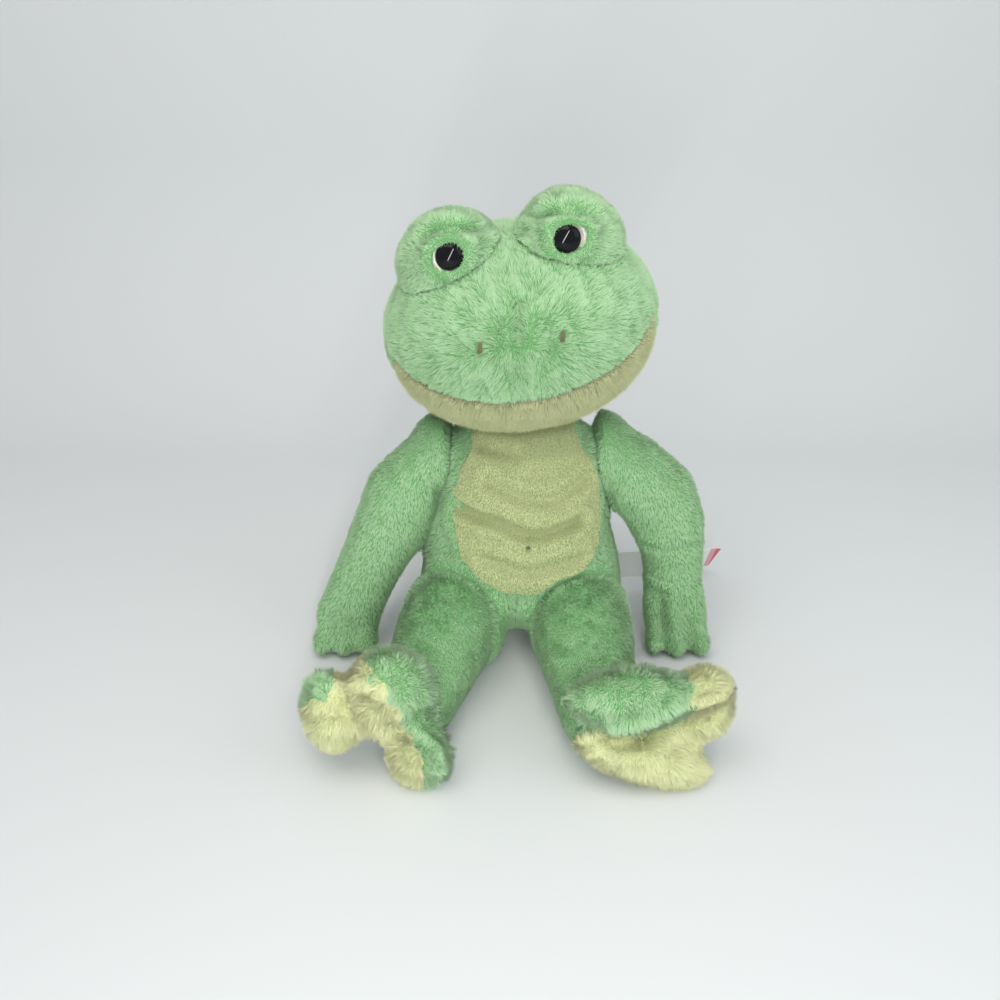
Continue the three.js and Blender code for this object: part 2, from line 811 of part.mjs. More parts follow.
const footLeft = {
  toes: [
    { at: [0.46, -0.52, 0.94], halves: [1.33, 1.0, 0.95], turn: [0, -7, 0] },
    { at: [2.0, -0.36, 0.68], halves: [0.62, 1.0, 1.25], turn: [0, 0, 0] },
    { at: [0.82, -0.86, -0.2], halves: [1.5, 0.95, 0.82], turn: [0, 16, 0] },
    { at: [0.98, -0.3, 0.3], halves: [1.2, 0.9, 1.1], turn: [0, 0, 0] },
  ],
  seam: { at: [-0.41, -0.75, 0.23], facing: [0.33, -0.23, -0.92] },
};
const footRight = {
  toes: [
    { at: [-1.5, -0.6, 0.55], halves: [0.62, 0.95, 1.38], turn: [0, -8, 0] },
    { at: [-0.3, -0.55, 0.94], halves: [0.98, 1.1, 1.62], turn: [0, 0, 0] },
    { at: [0.24, -0.86, -0.2], halves: [0.68, 1.0, 1.4], turn: [20, 14, 0] },
    { at: [0.06, -0.3, 0.25], halves: [0.85, 0.95, 1.3], turn: [0, 0, 0] },
  ],
  seam: { at: [-0.05, -1.2, 0.91], facing: [-0.42, -0.88, -0.22] },
};

function footForm(side, grow) {
  const plan = side > 0 ? footLeft : footRight;
  const ankle = anklePivot(side);
  let form = null;
  plan.toes.forEach((toe) => {
    const middle = new THREE.Vector3(...toe.at).multiplyScalar(toeHalfLength).add(ankle);
    const toeForm = roundForm(middle, [
      toe.halves[0] * toeHalfLength + grow,
      toe.halves[1] * toeHalfThickness + grow,
      toe.halves[2] * toeHalfWidth + grow,
    ], toe.turn, toeSides, toeRings);
    form = form ? form.add(toeForm) : toeForm;
  });
  return pressed(form);
}

// Everything on the sole's side of the seam between the foot's two panels
function soleSpace(side, grow) {
  const plan = side > 0 ? footLeft : footRight;
  const at = new THREE.Vector3(...plan.seam.at).multiplyScalar(toeHalfLength).add(anklePivot(side));
  const facing = new THREE.Vector3(...plan.seam.facing).normalize();
  const reach = toeHalfLength * 6;
  const slab = block(
    new THREE.Vector3(-reach, -reach, -grow),
    new THREE.Vector3(reach, reach, reach),
  );
  const turn = new THREE.Quaternion().setFromUnitVectors(axisZ, facing);
  return placed(slab, new THREE.Matrix4().compose(at, turn, new THREE.Vector3(1, 1, 1)));
}

// What a foot must clear: the round end of the leg, and the wedge the leg sweeps behind the ankle
function ankleSpace(side) {
  const radius = ankleHalfHeight + turnGap;
  const width = ankleHalfWidth + turnGap;
  const reach = toeHalfLength * 4;
  const ankle = anklePivot(side);
  const high = (footFlex + ankleTaper) * degrees;
  const outline = [];
  const steps = 8;
  for (let step = 0; step <= steps; step += 1) {
    const angle = Math.PI / 2 + high + (step / steps) * (Math.PI - 2 * high);
    outline.push(new THREE.Vector2(Math.cos(angle) * radius, Math.sin(angle) * radius));
  }
  const [first, last] = [outline[0], outline[outline.length - 1]];
  outline.push(new THREE.Vector2(last.x + Math.cos(high) * reach, last.y - Math.sin(high) * reach));
  outline.push(new THREE.Vector2(first.x + Math.cos(high) * reach, first.y + Math.sin(high) * reach));
  const wedge = new THREE.ExtrudeGeometry(new THREE.Shape(outline), { depth: 2 * width, bevelEnabled: false });
  wedge.applyMatrix4(new THREE.Matrix4().makeBasis(axisY, axisZ, axisX));
  wedge.translate(ankle.x - width, ankle.y, ankle.z);
  return solidOf(wedge);
}

function clearedFoot(side, form) {
  return largest(form.subtract(ankleSpace(side)));
}

function foot(side) {
  return clearedFoot(side, footForm(side, 0).subtract(soleSpace(side, seamGap)));
}

function sole(side) {
  return clearedFoot(side, footForm(side, 0).intersect(soleSpace(side, 0)));
}

// The assembly

function material(color, roughness) {
  return new THREE.MeshStandardMaterial({ color, roughness, metalness: 0 });
}

const pileRoughness = 0.95;
const glossRoughness = 0.12;
const green = material(pileGreen, pileRoughness);
const belly = material(pileBelly, pileRoughness);
const jawPile = material(pileJaw, pileRoughness);
const solePile = material(pileSole, pileRoughness);
const cream = material(creamPlastic, 0.3);
const black = material(blackPlastic, glossRoughness);
const white = material(whitePlastic, 0.6);
const brown = material(threadBrown, 0.8);
const dark = material(threadDark, 0.8);
const bag = material(bagCloth, 0.9);
const satin = material(labelCloth, 0.5);

const frog = new THREE.Group();

function place(name, solid, look) {
  const mesh = new THREE.Mesh(geometryOf(solid), look);
  mesh.name = name;
  frog.add(mesh);
}

place('torso', torso(), green);
place('belly_panel', bellyPanel(), belly);
place('pellet_bag', bagForm(0), bag);
place('navel_stitch', navelStitch(), dark);
place('label', label(), satin);
place('head', head(), green);
place('jaw', jaw(), jawPile);
Object.entries(sides).forEach(([name, side]) => {
  place(`eye_mound_${name}`, eyeMound(side), green);
  place(`eye_${name}`, eye(side), cream);
  place(`pupil_${name}`, pupil(side), black);
  place(`eye_washer_${name}`, eyeWasher(side), white);
  place(`nostril_${name}`, nostril(side), brown);
  place(`arm_${name}`, arm(side), green);
  place(`leg_${name}`, leg(side), green);
  place(`foot_${name}`, foot(side), green);
  place(`sole_${name}`, sole(side), solePile);
});

export default frog;
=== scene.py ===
"""A sitting plush frog: skins of pile fabric over stuffed forms, domed eyes, stitches and a label."""
import math
from collections import namedtuple

import bmesh
import bpy
import numpy as np
from bpy.props import FloatProperty, FloatVectorProperty, IntProperty, PointerProperty
from bpy.types import Operator, Panel, PropertyGroup
from mathutils import Matrix, Vector
from mathutils.bvhtree import BVHTree
from mathutils.kdtree import KDTree


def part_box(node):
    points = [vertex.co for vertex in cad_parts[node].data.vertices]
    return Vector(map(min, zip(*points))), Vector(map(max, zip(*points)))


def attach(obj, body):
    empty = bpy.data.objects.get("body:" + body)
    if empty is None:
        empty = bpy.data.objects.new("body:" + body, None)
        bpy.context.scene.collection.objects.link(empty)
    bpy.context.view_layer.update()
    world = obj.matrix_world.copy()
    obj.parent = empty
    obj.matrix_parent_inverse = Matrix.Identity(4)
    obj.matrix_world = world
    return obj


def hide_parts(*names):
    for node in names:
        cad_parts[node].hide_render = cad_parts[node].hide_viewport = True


bl_info = {
    "name": "Plush Frog",
    "version": (1, 0, 0),
    "blender": (4, 5, 0),
    "location": "3D View > Sidebar > Frog",
    "description": "Dresses a sitting frog in pile fabric, with eyes, stitches, a label and a stage",
    "category": "Add Mesh",
}

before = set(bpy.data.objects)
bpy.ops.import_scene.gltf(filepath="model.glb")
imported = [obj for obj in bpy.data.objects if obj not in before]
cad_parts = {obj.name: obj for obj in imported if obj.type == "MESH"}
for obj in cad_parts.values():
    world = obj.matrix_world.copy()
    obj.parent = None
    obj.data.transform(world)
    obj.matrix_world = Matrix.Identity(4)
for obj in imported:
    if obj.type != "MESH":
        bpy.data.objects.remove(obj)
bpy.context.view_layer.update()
MM = 0.001
MERGED = 0.01 * MM


# Colours and nodes

def linear(hex_colour):
    """Turns an sRGB hex value such as #86BD84 to the linear colour that a shader takes"""
    channels = [int(hex_colour[place:place + 2], 16) / 255 for place in (1, 3, 5)]
    return [c / 12.92 if c <= 0.04045 else ((c + 0.055) / 1.055) ** 2.4 for c in channels]


def rgba(colour):
    return (*colour, 1.0)


def add_node(tree, kind, settings=None, inputs=None, links=None):
    """Adds one node, sets its properties and sockets, and links sockets to other nodes' outputs"""
    node = tree.nodes.new(kind)
    for name, value in (settings or {}).items():
        setattr(node, name, value)
    for name, value in (inputs or {}).items():
        node.inputs[name].default_value = value
    for name, output in (links or {}).items():
        tree.links.new(output, node.inputs[name])
    return node


def new_material(name, inputs):
    """A material with one Principled shader. Returns the material, its tree and the shader"""
    material = bpy.data.materials.new(name)
    material.use_nodes = True
    tree = material.node_tree
    shader = tree.nodes["Principled BSDF"]
    for socket, value in inputs.items():
        shader.inputs[socket].default_value = value
    return material, tree, shader


def colour_ramp(tree, factor, stops):
    ramp = add_node(tree, "ShaderNodeValToRGB", links={"Fac": factor})
    elements = ramp.color_ramp.elements
    while len(elements) < len(stops):
        elements.new(0.5)
    for element, (position, colour) in zip(elements, stops):
        element.position = position
        element.color = rgba(colour)
    return ramp.outputs["Color"]


# Settings

def colour_property(name, description, hex_colour):
    return FloatVectorProperty(
        name=name, description=description, subtype="COLOR", size=3, min=0, max=1,
        default=linear(hex_colour),
    )


def length_property(name, description, millimetres):
    return FloatProperty(name=name, description=description, unit="LENGTH", default=millimetres * MM)


class FrogPile(PropertyGroup):
    """Lengths and colours of the pile"""
    head: length_property("Head pile", "Length of the long pile on the snout and crown", 6.0)
    mound: length_property("Mound pile", "Length of the pile round the eyes", 4.0)
    body: length_property("Body pile", "Length of the pile on the torso and limbs", 3.6)
    belly: length_property("Belly pile", "Length of the short velour on the belly", 2.2)
    jaw: length_property("Jaw pile", "Length of the pile on the jaw", 6.0)
    foot: length_property("Foot pile", "Length of the fluffed pile on feet and soles", 6.0)
    tuft_width: length_property("Tuft width", "Width of one tuft of fibres at its root", 0.61)
    density: FloatProperty(
        name="Density", description="Tufts on a square millimetre, times each coat's own share",
        default=1.55, min=0.1)
    green: colour_property("Green", "Body of the green pile", "#AFDBA6")
    green_root: colour_property("Green root", "Shaded root of the green pile", "#7FB67A")
    green_tip: colour_property("Green tip", "Lit tip of the green pile", "#CDEFC3")
    belly_green: colour_property("Belly", "Yellow-green velour of the belly", "#CBD69C")
    jaw_green: colour_property("Jaw", "Beige-green pile of the jaw", "#C8CC9C")
    sole_green: colour_property("Sole", "Yellow-green pile of the soles", "#EEF5BC")


class FrogSkin(PropertyGroup):
    """How the stuffed skins are made"""
    fineness: length_property("Fineness", "Edge of one face of a skin before it is divided", 4.0)
    set_back: length_property("Set back", "How far the backing lies behind the tips of the pile", 2.8)
    swell_cap: length_property("Swell cap", "Most that the filling may move a point of a skin", 2.2)
    pressure: FloatProperty(name="Filling", description="Pressure of the filling", default=4.0, min=0)
    frames: IntProperty(name="Frames", description="Frames of cloth for each skin", default=20, min=1)


class FrogParts(PropertyGroup):
    """Sizes and colours of the hard and sewn parts"""
    pupil_radius: length_property("Pupil radius", "Radius of the black dome", 8.1)
    pupil_shift: length_property("Pupil shift", "How far the left pupil sits off its disc's middle", 1.5)
    thread: length_property("Thread", "Thickness of the embroidery thread", 0.55)
    cream: colour_property("Cream plastic", "Moulded disc behind the pupil", "#E9E5D8")
    black: colour_property("Black plastic", "Glossy dome of the pupil", "#08090D")
    brown: colour_property("Brown thread", "Nostril stitches", "#6E6440")
    olive: colour_property("Olive thread", "Navel knot", "#596040")
    label_red: colour_property("Label red", "Woven band at the end of the label", "#D9646E")


class FrogStage(PropertyGroup):
    """Camera, floor and light"""
    lens: FloatProperty(name="Lens", description="Focal length in millimetres", default=30.6, min=1)
    tilt: FloatProperty(
        name="Tilt", description="How far the camera looks down", subtype="ANGLE",
        default=math.atan2(416, 850))
    camera_at: FloatVectorProperty(
        name="Camera", description="Where the camera stands", subtype="XYZ", unit="LENGTH",
        default=(-0.0155, -0.545, 0.370))
    paper: colour_property("Paper", "Floor and backdrop", "#D6D9DA")


# Points as numpy arrays, in metres

def unit(vectors):
    return vectors / np.maximum(np.linalg.norm(vectors, axis=-1, keepdims=True), 1e-12)


class Ripple:
    """A smooth random field, made of plane waves that cross at random"""

    def __init__(self, seed, wavelength, waves=14):
        rng = np.random.default_rng(seed)
        directions = unit(rng.normal(size=(waves, 3)))
        self.waves = directions * (2 * math.pi / wavelength) * rng.uniform(0.7, 1.4, (waves, 1))
        self.phase = rng.uniform(0, 2 * math.pi, waves)
        self.level = math.sqrt(2 / waves)
        self.steepness = wavelength / (2 * math.pi) * self.level

    def height(self, points):
        return np.cos(points @ self.waves.T + self.phase).sum(axis=1) * self.level

    def slope(self, points):
        return -np.sin(points @ self.waves.T + self.phase) @ self.waves * self.steepness


# Skins: stuffed forms of pile fabric, each made from the solids that it stands for

def link(name, mesh):
    piece = bpy.data.objects.new(name, mesh)
    bpy.context.scene.collection.objects.link(piece)
    return piece


def smooth_faces(mesh):
    mesh.polygons.foreach_set("use_smooth", [True] * len(mesh.polygons))


def mesh_of(bm, name):
    """Ends a bmesh as a mesh of that name"""
    mesh = bpy.data.meshes.new(name)
    bm.to_mesh(mesh)
    bm.free()
    return mesh


def finish_modifiers(piece):
    """Keeps what the modifiers give as the piece's own mesh"""
    graph = bpy.context.evaluated_depsgraph_get()
    mesh = bpy.data.meshes.new_from_object(piece.evaluated_get(graph))
    old = piece.data
    piece.modifiers.clear()
    piece.data = mesh
    mesh.name = piece.name
    bpy.data.meshes.remove(old)


def joined_solids(name, nodes):
    bm = bmesh.new()
    for node in nodes:
        bm.from_mesh(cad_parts[node].data)
    bmesh.ops.remove_doubles(bm, verts=bm.verts, dist=MERGED)
    return link(name, mesh_of(bm, name))


def keep_outer_shell(bm):
    """Drops the walls of closed hollows, which no one sees"""
    left = set(bm.verts)
    shells = []
    while left:
        reached = {left.pop()}
        edge = list(reached)
        while edge:
            vert = edge.pop()
            for other in (e.other_vert(vert) for e in vert.link_edges):
                if other not in reached:
                    reached.add(other)
                    edge.append(other)
        left -= reached
        shells.append(reached)
    outer = max(shells, key=len)
    bmesh.ops.delete(bm, geom=[v for v in bm.verts if v not in outer], context="VERTS")


def rows_of(collection, name, width, kind=float):
    """One row of values for each item of a mesh's collection"""
    values = np.empty(len(collection) * width, dtype=kind)
    collection.foreach_get(name, values)
    return values.reshape(-1, width)


def points_of(mesh):
    return rows_of(mesh.vertices, "co", 3)


def normals_of(mesh):
    return rows_of(mesh.vertex_normals, "vector", 3)


def move_points(mesh, points):
    points[:, 2] = np.maximum(points[:, 2], 0)
    mesh.vertices.foreach_set("co", points.ravel())
    mesh.update()


def tree_of(nodes):
    bm = bmesh.new()
    for node in nodes:
        bm.from_mesh(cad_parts[node].data)
    tree = BVHTree.FromBMesh(bm)
    bm.free()
    return tree


def cover(mesh, nodes, reach):
    """How far each point lies against other solids, from 0 in the open to 1, smoothed over the skin"""
    covered = np.zeros(len(mesh.vertices))
    if not nodes:
        return covered
    tree = tree_of(nodes)
    for index, (point, normal) in enumerate(zip(points_of(mesh), normals_of(mesh))):
        start = Vector(point) - Vector(normal) * 0.5 * MM
        if tree.ray_cast(start, Vector(normal), reach)[0] is not None:
            covered[index] = 1
    edges = rows_of(mesh.edges, "vertices", 2, np.int32)
    for _ in range(2):
        total = covered.copy()
        count = np.ones(len(covered))
        for one, other in ((0, 1), (1, 0)):
            np.add.at(total, edges[:, one], covered[edges[:, other]])
            np.add.at(count, edges[:, one], 1)
        covered = total / count
    return covered


NEAR = 2 * MM
FAR = 6 * MM


def closeness(mesh, nodes):
    """How near each point is to other solids: 1 up to NEAR, 0 from FAR on"""
    if not nodes:
        return np.zeros(len(mesh.vertices))
    tree = tree_of(nodes)
    found = [tree.find_nearest(Vector(point), FAR)[3] for point in points_of(mesh)]
    away = np.array([FAR if distance is None else distance for distance in found])
    return np.clip((FAR - away) / (FAR - NEAR), 0, 1)


def swell(piece, held, settings):
    """Lets the filling press the skin out as cloth, and caps how far any point goes"""
    before = points_of(piece.data)
    group = piece.vertex_groups.new(name="held")
    for index in np.nonzero(held > 0.3)[0]:
        group.add([int(index)], 1.0, "REPLACE")
    cloth = piece.modifiers.new("Cloth", "CLOTH")
    cloth.settings.quality = 4
    cloth.settings.mass = 0.25
    cloth.settings.vertex_group_mass = group.name
    cloth.settings.use_pressure = True
    cloth.settings.uniform_pressure_force = settings.pressure
    cloth.settings.effector_weights.gravity = 0
    scene = bpy.context.scene
    for number in range(1, settings.frames + 1):
        scene.frame_set(number)
    finish_modifiers(piece)
    piece.vertex_groups.clear()
    moved = points_of(piece.data) - before
    length = np.linalg.norm(moved, axis=1, keepdims=True)
    moved *= np.minimum(1, settings.swell_cap / np.maximum(length, 1e-9))
    move_points(piece.data, before + moved)
    scene.frame_set(1)


# Below this height a skin rests, and over these lengths its neighbours hold, sew and hide it
HELD_HEIGHT = 1.5 * MM
HELD_REACH = 5 * MM
SEWN_REACH = 1.5 * MM
HIDDEN_REACH = 3 * MM
# For each point: how sewn over it is, how far a neighbour hides it, and how near a neighbour is
Skin = namedtuple("Skin", "piece sewn hidden seam")


def make_skin(name, nodes, sewn_to, beside, set_back, fineness=None, shape=None, smooth=4):
    """Remeshes the solids, presses them back from the tips of the pile, fills and shapes the skin"""
    settings = bpy.context.scene.frog_skin
    piece = joined_solids(name, nodes)
    remesh = piece.modifiers.new("Remesh", "REMESH")
    remesh.mode = "VOXEL"
    remesh.voxel_size = fineness or settings.fineness
    finish_modifiers(piece)
    bm = bmesh.new()
    bm.from_mesh(piece.data)
    keep_outer_shell(bm)
    for _ in range(smooth):
        bmesh.ops.smooth_vert(
            bm, verts=bm.verts, factor=0.5, use_axis_x=True, use_axis_y=True, use_axis_z=True)
    bm.to_mesh(piece.data)
    bm.free()
    mesh = piece.data
    neighbours = sewn_to + beside
    covered = cover(mesh, neighbours, HELD_REACH)
    points = points_of(mesh)
    normals = normals_of(mesh)
    resting = (points[:, 2] < HELD_HEIGHT) & (normals[:, 2] < -0.5)
    held = np.maximum.reduce([covered, resting, closeness(mesh, neighbours)])
    move_points(mesh, points - normals * (set_back * (1 - held))[:, None])
    swell(piece, held, settings)
    divide = piece.modifiers.new("Subdivision", "SUBSURF")
    divide.levels = divide.render_levels = 1
    finish_modifiers(piece)
    mesh = piece.data
    if shape:
        points = points_of(mesh)
        move_points(mesh, shape(points, normals_of(mesh)))
    smooth_faces(mesh)
    return Skin(piece, cover(mesh, sewn_to, SEWN_REACH), cover(mesh, beside, HIDDEN_REACH),
                closeness(mesh, neighbours))


def fold(points, normals, path, depth, width, swelling=0.0):
    """Draws the front of a skin in along a path of (x, z) places, and plumps it on both sides"""
    flat = points[:, (0, 2)]
    nearest = np.full(len(points), np.inf)
    for start, end in zip(path, path[1:]):
        start, end = np.array(start) * MM, np.array(end) * MM
        way = end - start
        share = np.clip((flat - start) @ way / (way @ way), 0, 1)
        nearest = np.minimum(nearest, np.linalg.norm(flat - start - share[:, None] * way, axis=1))
    front = np.clip(-normals[:, 1] * 2, 0, 1)
    inward = depth * np.exp(-(nearest / width) ** 2)
    outward = swelling * np.exp(-((nearest - 2 * width) / width) ** 2)
    return points - normals * ((inward - outward) * front)[:, None]


def folded(folds):
    """A shaping that draws in each of some folds: a path, its depth, width and swelling in millimetres"""
    def shape(points, normals):
        for path, *sizes in folds:
            points = fold(points, normals, path, *(size * MM for size in sizes))
        return points
    return shape


# Pile: tufts of fibres that stand on a skin

# Each of the clumps is how many tufts gather, how far their tips are drawn and how uneven their tone is
Coat = namedtuple("Coat", "length lean density seed comb clumps width stir")
PARTING_SIZE = 16 * MM
MOST_TUFTS = 60000
# What the pile loses of its length where a neighbour lies on it, and beside a seam
HIDDEN_LOSS = 0.65
SEAM_LOSS = 0.35
FULLY_SEWN = 0.95
# How deep a root stands in its skin, up to what height a skin rests, and how high the pile stays
ROOT_DEPTH = 0.4 * MM
RESTING_HEIGHT = 2 * MM
FLOOR_GAP = 0.2 * MM
# What the needle's width, height and length are scaled by, and the three parts of its normals
NEEDLE_SHARES = (1.15, 0.6, 1)
SKIN_SHARE, RIDGE_SHARE, SIDE_SHARE = 0.8, 0.25, 0.5


def needle():
    """One tuft of fibres, 1 wide and 1 long: a low three-sided needle with its ridge outward"""
    bm = bmesh.new()
    bmesh.ops.create_cone(bm, cap_ends=False, segments=3, radius1=0.5, radius2=0, depth=1)
    bmesh.ops.remove_doubles(bm, verts=bm.verts, dist=0.01)
    bmesh.ops.translate(bm, vec=(0, 0, 0.5), verts=bm.verts)
    bmesh.ops.scale(bm, vec=NEEDLE_SHARES, verts=bm.verts)
    bmesh.ops.recalc_face_normals(bm, faces=bm.faces)
    bm.verts.index_update()
    points = np.array([v.co[:] for v in bm.verts])
    faces = [[v.index for v in face.verts] for face in bm.faces]
    bm.free()
    return points, faces


def scatter(skin, per_area, rng):
    """Random places on the skin, evenly by area, with its normal, how sewn over each is and its room"""
    mesh = skin.piece.data
    mesh.calc_loop_triangles()
    corners = rows_of(mesh.loop_triangles, "vertices", 3, np.int32)
    points = points_of(mesh)[corners]
    areas = np.linalg.norm(np.cross(points[:, 1] - points[:, 0], points[:, 2] - points[:, 0]), axis=1) / 2
    count = int(areas.sum() * per_area)
    reached = np.cumsum(areas)
    chosen = np.searchsorted(reached, rng.uniform(0, reached[-1], count))
    one, two = rng.uniform(size=(2, count))
    over = one + two > 1
    one[over], two[over] = 1 - one[over], 1 - two[over]
    shares = np.stack([1 - one - two, one, two], axis=1)[:, :, None]
    roots = (points[chosen] * shares).sum(axis=1)
    normals = unit((normals_of(mesh)[corners[chosen]] * shares).sum(axis=1))
    sewn, hidden, seam = (
        (values[corners[chosen]] * shares[:, :, 0]).sum(axis=1)
        for values in (skin.sewn, skin.hidden, skin.seam))
    return roots, normals, sewn, (1 - HIDDEN_LOSS * hidden) * (1 - SEAM_LOSS * seam)


def draw_together(roots, tips, gather, pull, rng):
    """Draws the tips of neighbouring tufts towards the tip of the one that leads their clump"""
    lead = rng.choice(len(roots), max(1, len(roots) // gather), replace=False)
    tree = KDTree(len(lead))
    for place, index in enumerate(lead):
        tree.insert(roots[index], place)
    tree.balance()
    leader = lead[[tree.find(root)[1] for root in roots]]
    share = pull * rng.uniform(0.5, 1.1, (len(roots), 1))
    return tips + (tips[leader] - tips) * share, leader


def grow_pile(name, skin, coat, material, body, keep=None):
    """Plants tufts over a skin, combs them and draws them into clumps, in pieces of a fair size"""
    settings = bpy.context.scene.frog_pile
    rng = np.random.default_rng(coat.seed)
    roots, normals, sewn, room = scatter(skin, coat.density * settings.density / MM ** 2, rng)
    pressed = (roots[:, 2] < RESTING_HEIGHT) & (normals[:, 2] < -0.75)
    kept = (sewn < FULLY_SEWN) & ~pressed
    if keep:
        kept &= keep(roots)
    roots, normals, room = roots[kept], normals[kept], room[kept]
    count = len(roots)
    direction, reach = coat.comb(roots, normals)
    partings = Ripple(coat.seed + 1, PARTING_SIZE)
    stirred = direction + coat.stir * (partings.slope(roots) + 0.6 * rng.normal(size=(count, 3)))
    combed = stirred - normals * (stirred * normals).sum(axis=1, keepdims=True)
    lean = coat.lean + 0.2 * coat.stir * partings.height(roots) + 0.06 * rng.normal(size=count)
    lean = np.clip(lean, 0.05, 0.9)[:, None]
    length = coat.length * reach * rng.uniform(0.8, 1.12, count) * room
    starts = roots - normals * ROOT_DEPTH
    tips = starts + unit(normals * (1 - lean) + combed * lean) * length[:, None]
    tone = 0.5 + 0.15 * coat.stir * partings.height(roots) + 0.06 * rng.normal(size=count)
    for gather, pull, uneven in coat.clumps:
        tips, leader = draw_together(roots, tips, gather, pull, rng)
        tone += uneven * rng.normal(size=count)[leader]
    tone = np.clip(tone, 0.03, 0.97)
    shape, faces = needle()
    x, y, z = (shape[None, :, axis, None] for axis in range(3))
    along = (tips - starts)[:, None]
    across = unit(np.cross(unit(normals + 0.3 * rng.normal(size=(count, 3))), unit(tips - starts)))[:, None]
    outward = np.cross(unit(along), across)
    width = (settings.tuft_width * coat.width * rng.uniform(0.7, 1.2, count))[:, None, None]
    side = across * x + outward * y
    points = starts[:, None] + along * z + side * width
    points[:, :, 2] = np.maximum(points[:, :, 2], FLOOR_GAP)
    shading = unit(normals[:, None] * SKIN_SHARE + outward * RIDGE_SHARE + side * SIDE_SHARE)
    pieces = np.array_split(np.argsort(roots[:, 1]), math.ceil(count / MOST_TUFTS))
    for number, chosen in enumerate(pieces, 1):
        mesh = bpy.data.meshes.new(name if len(pieces) == 1 else f"{name}_{number}")
        build_tufts(mesh, points[chosen], shape, faces, tone[chosen])
        mesh.normals_split_custom_set_from_vertices(shading[chosen].reshape(-1, 3))
        mesh.materials.append(material)
        piece = link(mesh.name, mesh)
        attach(piece, body)


def build_tufts(mesh, points, shape, faces, tone):
    """Fills a mesh with copies of the needle, and gives each its strip of the tone map"""
    count, per_tuft = points.shape[:2]
    corners = np.array([corner for face in faces for corner in face])
    sizes = np.array([len(face) for face in faces])
    starts = np.concatenate([[0], np.cumsum(sizes)[:-1]])
    offsets = np.arange(count)[:, None]
    mesh.vertices.add(count * per_tuft)
    mesh.vertices.foreach_set("co", points.ravel())
    mesh.loops.add(count * len(corners))
    mesh.loops.foreach_set("vertex_index", (corners[None] + offsets * per_tuft).ravel())
    mesh.polygons.add(count * len(sizes))
    mesh.polygons.foreach_set("loop_start", (starts[None] + offsets * len(corners)).ravel())
    mesh.polygons.foreach_set("use_smooth", np.ones(count * len(sizes), dtype=bool))
    across = shape[corners, 0] * 0.02
    places = np.empty((count, len(corners), 2))
    places[:, :, 0] = tone[:, None] + across[None]
    places[:, :, 1] = 0.02 + 0.96 * shape[corners, 2]
    mesh.update(calc_edges=True)
    layer = mesh.uv_layers.new(name="OFBake")
    layer.data.foreach_set("uv", places.ravel())


# Materials

def pile_material(name, root, body, tip, shaded=0.84, lit=1.08):
    """Knitted acrylic pile: soft and matt, with shaded roots, lit tips and tufts of uneven tone"""
    material, tree, shader = new_material(name, {
        "Roughness": 0.8,
        "Specular IOR Level": 0.25,
        "Sheen Weight": 0.45,
        "Sheen Roughness": 0.5,
        "Sheen Tint": rgba(tip),
    })
    place = add_node(tree, "ShaderNodeUVMap", {"uv_map": "OFBake"})
    split = add_node(tree, "ShaderNodeSeparateXYZ", links={"Vector": place.outputs["UV"]})
    fibre = colour_ramp(tree, split.outputs["Y"], [(0, root), (0.45, body), (1, tip)])
    tone = colour_ramp(tree, split.outputs["X"], [(0, [shaded] * 3), (1, [lit] * 3)])
    mixed = add_node(tree, "ShaderNodeMix", {"data_type": "RGBA", "blend_type": "MULTIPLY"},
                     {"Factor": 1.0})
    tree.links.new(fibre, mixed.inputs["A"])
    tree.links.new(tone, mixed.inputs["B"])
    tree.links.new(mixed.outputs["Result"], shader.inputs["Base Color"])
    return material


def textured_material(name, inputs, colour, dark_share, ends, kind, settings, values):
    """A finish whose colour runs from a darker one to the full one with the value of one texture"""
    material, tree, shader = new_material(name, inputs)
    where = add_node(tree, "ShaderNodeTexCoord").outputs["Object"]
    value = add_node(tree, kind, settings, values, {"Vector": where}).outputs["Fac"]
    mixed = colour_ramp(tree, value, [(ends[0], shaded(colour, dark_share)), (ends[1], colour)])
    tree.links.new(mixed, shader.inputs["Base Color"])
    return material, tree, shader, value


def backing_material(name, colour):
    """Knitted backing cloth under the pile: matt, with a loop-sized grain, and coloured darker as painted
    shade between the tufts
    """
    grain = 1.2 * MM
    material, tree, shader, loops = textured_material(
        name, {"Roughness": 0.95, "Specular IOR Level": 0.15}, colour, 0.7, (0.3, 0.7),
        "ShaderNodeTexNoise", {}, {"Scale": 1 / grain, "Detail": 3.0})
    bump = add_node(tree, "ShaderNodeBump", inputs={"Strength": 0.6, "Distance": 0.5 * MM},
                    links={"Height": loops})
    tree.links.new(bump.outputs["Normal"], shader.inputs["Normal"])
    return material


def moulded_material(name, colour, roughness, coat=0.0, gloss=0.5):
    """Injection-moulded plastic: hard and glossy, with a faint unevenness from the mould"""
    flow = 6 * MM
    finish = {
        "Roughness": roughness, "Specular IOR Level": gloss, "Coat Weight": coat, "Coat Roughness": 0.03}
    return textured_material(name, finish, colour, 0.9, (0.35, 0.65),
                             "ShaderNodeTexNoise", {}, {"Scale": 1 / flow, "Detail": 2.0})[0]


def thread_material(name, colour):
    """Twisted polyester embroidery thread: a soft lustre, with the ply showing as fine slanted bands"""
    ply = 0.5 * MM
    return textured_material(name, {"Roughness": 0.5, "Sheen Weight": 0.3}, colour, 0.55, (0.2, 0.7),
                             "ShaderNodeTexWave", {"bands_direction": "DIAGONAL"},
                             {"Scale": 1 / ply / 3, "Distortion": 1.5})[0]


